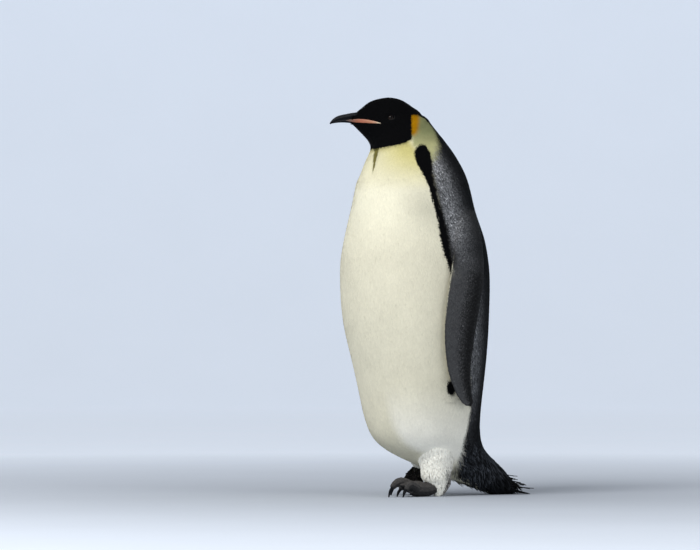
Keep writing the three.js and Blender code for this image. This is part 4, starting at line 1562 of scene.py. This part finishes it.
class PENGUIN_OT_eyes(bpy.types.Operator):
    """Build the eyes and their lids"""

    bl_idname = "penguin.eyes"
    bl_label = "Eyes"

    def execute(self, context):
        form = outer_form()
        tree = tree_of(form.piece)
        wet = surface(
            "dark eye", "tint", (300, 1500, 0.3), (0.035, 0.06), Specular_IOR_Level=0.13
        )
        bare = surface(
            "lid", LID_COLOUR, (200, 1200, 0.3), (0.38, 0.55), (0.5, 0.0004), Specular_IOR_Level=0.1
        )
        for side, (centre, outward, ahead, up) in eye_places(form).items():
            deselect()
            bpy.ops.mesh.primitive_uv_sphere_add(
                segments=64, ring_count=32, radius=EYE_RADIUS * MM, location=(0, 0, 0)
            )
            eye = active_piece("eyeball_" + side)
            frame_of_eye = Matrix((ahead, np.cross(outward, ahead), outward)).transposed()
            matrix = Matrix.Translation(Vector(centre)) @ frame_of_eye.to_4x4()
            eye.data.transform(matrix)
            bpy.ops.object.shade_smooth()
            offset = (points_of(eye.data) - centre) / MM
            off_axis = np.linalg.norm(offset - np.outer(offset @ outward, outward), axis=1)
            pupil = ramp(off_axis, *PUPIL_EDGE)[:, None]
            rim = ramp(off_axis, *IRIS_EDGE)[:, None]
            tint = np.array(IRIS) * (1 - pupil) * (1 - rim) + np.array(EYE_RIM) * rim
            set_colour(eye.data, "tint", tint + PUPIL * pupil)
            finish_piece(eye, "eye", wet, replaced=("eye_" + side,))
            lid = self.lid("lid_" + side, centre, outward, ahead, up, tree)
            finish_piece(lid, "black_plumage", bare)
        return {"FINISHED"}

    def lid(self, name, centre, outward, ahead, up, tree):
        """A ring of skin round the opening, pointed at its corners."""
        turn = np.arange(48) * 2 * math.pi / 48
        loops = []
        for half_length, half_height, over, on_skin in LID_LOOPS:
            x = half_length * np.cos(turn)
            y = half_height * np.sign(np.sin(turn)) * np.abs(np.sin(turn)) ** 1.25
            y -= LID_TILT * x
            ball = over_eye(x, y, over)
            spots = centre + (x[:, None] * ahead + y[:, None] * up) * MM
            skin = []
            for spot in spots:
                start = Vector(spot + outward * RAY_START)
                hit = tree.ray_cast(start, Vector(-outward))[0]
                skin.append(Vector(outward) @ (hit - Vector(spot)))
            skin = np.array(skin) / MM + over
            if over > 0:
                ball = np.maximum(ball, skin - LID_STEP)
            z = ball * (1 - on_skin) + skin * on_skin
            loops.append(spots + (z[:, None] * outward) * MM)
        piece = tube(name, np.array(loops))
        inside_out = np.dot(np.array(piece.data.polygons[0].normal), outward) < 0
        apply_modifier(piece, "SOLIDIFY", thickness=LID_THICK * MM, offset=1 if inside_out else -1)
        apply_modifier(piece, "SUBSURF", levels=1, render_levels=1)
        edit(piece, FACE_OUT)
        bpy.ops.object.shade_smooth()
        return piece


# ---- Feet ----

SHIN = (28, 78)  # the heights between which the raised leg's shin is feathered
SHIN_FRONT = -56  # and how far ahead
SHIN_GAP = 2.6
SHIN_LIE = (0, 0.25, -0.97)
SHIN_SIZE = (17 * MM, 4 * MM, 7 * MM, 1 * MM)  # length, width, lift and sink


SCUTE = (4.2, 0.75)  # size and relief of the scutes on the feet, in millimetres
SOLES_OVER_FLOOR = 0.2


def scaled(piece):
    """Raise rounded scutes on the skin, darker in their seams, with painted shade underneath and
    painted light on top.
    """
    mesh = piece.data
    size, relief = SCUTE
    normals = np.array([vertex.normal for vertex in mesh.vertices])
    seam = np.empty(len(mesh.vertices))
    for i, vertex in enumerate(mesh.vertices):
        near = noise.voronoi(vertex.co / (size * MM))[0]
        seam[i] = near[1] - near[0]
    bulge = np.sqrt(np.clip(seam / 0.55, 0, 1))
    points = points_of(mesh) + normals * ((bulge - 0.75) * relief * MM)[:, None]
    points[:, 2] = np.maximum(points[:, 2], SOLES_OVER_FLOOR * MM)
    set_points(mesh, points)
    # Painted light and shade: the scutes are lighter where they face up and darker where they face
    # down.
    painted_light = 0.3 + 1.25 * ramp(normals[:, 2], -0.7, 0.8)
    tint = palette().foot * (painted_light * (0.4 + 0.75 * bulge))[:, None]
    set_colour(mesh, "tint", tint)


class PENGUIN_OT_feet(bpy.types.Operator):
    """Build the feet and claws"""

    bl_idname = "penguin.feet"
    bl_label = "Feet"

    def execute(self, context):
        skin = surface(
            "foot skin", "tint", (70, 600, 0.3), (0.52, 0.72), (0.8, 0.0008), scaly=True,
            Specular_IOR_Level=0.4,
        )
        for side in SIDES:
            foot = remeshed("scaly_foot_" + side, "foot_" + side, voxel=1.1, smooth=4)
            scaled(foot)
            if side == "right":
                self.shin(foot)
            finish_piece(foot, "foot_skin", skin, replaced=("foot_" + side,))
            for toe in ("inner", "middle", "outer", "hind"):
                node = f"claw_{side}_{toe}"
                claw = remeshed("nail_" + node[5:], node, voxel=0.5, smooth=3)
                finish_piece(claw, "claw", horn(), replaced=(node,))
        return {"FINISHED"}

    def shin(self, foot):
        """Dark feathers that hang over the bare shin, which only the raised leg shows."""
        centre = read(foot.data.polygons, "center")
        low, high = SHIN
        tall = centre[:, 2] / MM
        shin = (tall > low) & (tall < high) & (centre[:, 1] > SHIN_FRONT * MM)
        spots = scattered(foot, shin, SHIN_GAP * MM, 60)
        spots.lie = np.tile(SHIN_LIE, (len(spots), 1))
        rng = np.random.default_rng(61)
        tips = palette().foot * np.exp(rng.normal(-0.9, 0.6, len(spots)))[:, None]
        flat = spots.point[:, :2] - spots.point[:, :2].mean(0)
        around = np.arctan2(flat[:, 1], flat[:, 0]) / (2 * math.pi) + 0.5
        unwrap = 0.02 + 0.96 * np.stack([around, spots.point[:, 2] / (high * MM)], 1)
        coat = feather_coat(
            "coat_shin", spots, LONG_VANE, SHIN_SIZE, 2.0, tips * 0.3, tips, unwrap, 62
        )
        finish_piece(coat, "foot_skin", plumage(*BODY_FINISH))
        drop_attributes(foot.data, "mask", "part")


# ---- Stage ----

FLOOR_REACH = 15.0
BACKDROP_BEND = 5.0
BACKDROP_GLOW = (0.42, 0.46, 0.52)
GLOW_REACH = (0.2, 4.2)  # from here to there the floor's own glow makes up for the lamps
# The lights: distance towards the camera and to its left, height, and share of the power.
LIGHTS = (("Key", (3.6, 2.6, 3.9), 1), ("Fill", (3.0, -3.4, 2.2), 0.18))
LIGHT_SIZE = 3.0
LIT_HEIGHT = 0.5  # the lights point here, over the origin
CAMERA = {"place": (8.986, -4.457, 0.40), "azimuth": 65, "rise": 1.20, "lens": 186.1}


class PENGUIN_OT_stage(bpy.types.Operator):
    """Set the floor, backdrop, lights and camera"""

    bl_idname = "penguin.stage"
    bl_label = "Stage"

    def execute(self, context):
        scene = context.scene
        settings = scene.penguin_stage
        self.floor(tuple(settings.floor))
        world = bpy.data.worlds.new("Soft light")
        world.use_nodes = True
        background = world.node_tree.nodes["Background"]
        background.inputs["Color"].default_value = (0.95, 0.98, 1.03, 1)
        background.inputs["Strength"].default_value = settings.sky
        scene.world = world
        turn = math.radians(CAMERA["azimuth"])
        towards = Vector((math.sin(turn), -math.cos(turn), 0))
        left = Vector((-math.cos(turn), -math.sin(turn), 0))
        for name, (ahead, aside, height), share in LIGHTS:
            place = towards * ahead + left * aside + Vector((0, 0, height))
            self.light(name, place, settings.key * share)
        camera = bpy.data.cameras.new("Camera")
        camera.lens = CAMERA["lens"]
        camera.clip_end = 100
        eye = bpy.data.objects.new("Camera", camera)
        rise = math.radians(CAMERA["rise"])
        look = Vector((-towards.x * math.cos(rise), -towards.y * math.cos(rise), math.sin(rise)))
        eye.location = CAMERA["place"]
        eye.rotation_euler = look.to_track_quat("-Z", "Y").to_euler()
        scene.collection.objects.link(eye)
        scene.camera = eye
        scene.view_settings.view_transform = "Standard"
        return {"FINISHED"}

    def light(self, name, place, power):
        lamp = bpy.data.lights.new(name, "AREA")
        lamp.shape = "DISK"
        lamp.size = LIGHT_SIZE
        lamp.energy = power
        item = bpy.data.objects.new(name, lamp)
        item.location = place
        item.rotation_euler = (Vector((0, 0, LIT_HEIGHT)) - place).to_track_quat("-Z", "Y").to_euler()
        bpy.context.scene.collection.objects.link(item)

    def floor(self, colour):
        """A round floor that curves up into a backdrop on all sides."""
        deselect()
        bpy.ops.mesh.primitive_circle_add(vertices=128, radius=FLOOR_REACH, fill_type="NGON")
        floor = active_piece("Floor")
        bpy.ops.object.mode_set(mode="EDIT")
        bpy.ops.mesh.select_mode(type="EDGE")
        bpy.ops.mesh.select_all(action="DESELECT")
        bpy.ops.mesh.select_non_manifold()
        reach, height = FLOOR_REACH, 0.0
        for step in range(1, 17):
            angle = math.radians(90 * step / 16)
            next_reach = FLOOR_REACH + BACKDROP_BEND * math.sin(angle)
            next_height = BACKDROP_BEND * (1 - math.cos(angle))
            bpy.ops.mesh.extrude_edges_move(
                TRANSFORM_OT_translate={"value": (0, 0, next_height - height)}
            )
            bpy.ops.transform.resize(
                value=(next_reach / reach, next_reach / reach, 1),
                center_override=(0, 0, next_height),
            )
            reach, height = next_reach, next_height
        bpy.ops.object.mode_set(mode="OBJECT")
        bpy.ops.object.shade_smooth()
        material, tree, shader = new_material("floor", 0.9, Specular_IOR_Level=0.1)
        shade, height = uneven(tree, colour, 1.5, 60, 0.03)
        tree.links.new(shade, shader.inputs["Base Color"])
        add_bump(tree, shader, height, 0.1, 0.001)
        place = tree.nodes.new("ShaderNodeTexCoord").outputs["Object"]
        away = add_node(tree, "ShaderNodeVectorMath", {0: place}, operation="LENGTH")
        shares = {
            channel: range_of(tree, away.outputs["Value"], *GLOW_REACH, 0.0, tint)
            for channel, tint in zip(("Red", "Green", "Blue"), BACKDROP_GLOW)
        }
        glow = add_node(tree, "ShaderNodeCombineColor", shares)
        tree.links.new(glow.outputs["Color"], shader.inputs["Emission Color"])
        shader.inputs["Emission Strength"].default_value = 1.0
        floor.data.materials.append(material)


class PENGUIN_PT_panel(bpy.types.Panel):
    """Sizes, colours and the steps of the build"""

    bl_idname = "PENGUIN_PT_panel"
    bl_label = "Emperor penguin"
    bl_space_type = "VIEW_3D"
    bl_region_type = "UI"
    bl_category = "Penguin"

    def draw(self, context):
        for group in ("penguin_coat", "penguin_colours", "penguin_stage"):
            settings = getattr(context.scene, group)
            box = self.layout.box()
            for name in settings.__annotations__:
                box.prop(settings, name)
        for operator in OPERATORS:
            self.layout.operator(operator.bl_idname)


OPERATORS = (
    PENGUIN_OT_stage, PENGUIN_OT_skin, PENGUIN_OT_coat,
    PENGUIN_OT_tail, PENGUIN_OT_bill, PENGUIN_OT_eyes, PENGUIN_OT_feet,
)
GROUPS = {
    "penguin_colours": PenguinColours, "penguin_coat": PenguinCoat, "penguin_stage": PenguinStage,
}


def register():
    for group in GROUPS.values():
        bpy.utils.register_class(group)
    for name, group in GROUPS.items():
        setattr(bpy.types.Scene, name, bpy.props.PointerProperty(type=group))
    for operator in (*OPERATORS, PENGUIN_PT_panel):
        bpy.utils.register_class(operator)


def unregister():
    for operator in reversed((*OPERATORS, PENGUIN_PT_panel)):
        bpy.utils.unregister_class(operator)
    for name, group in GROUPS.items():
        delattr(bpy.types.Scene, name)
        bpy.utils.unregister_class(group)


def main():
    register()
    for operator in OPERATORS:
        getattr(bpy.ops.penguin, operator.bl_idname.split(".")[1])()
    put_form_away()


if __name__ == "__main__":
    main()
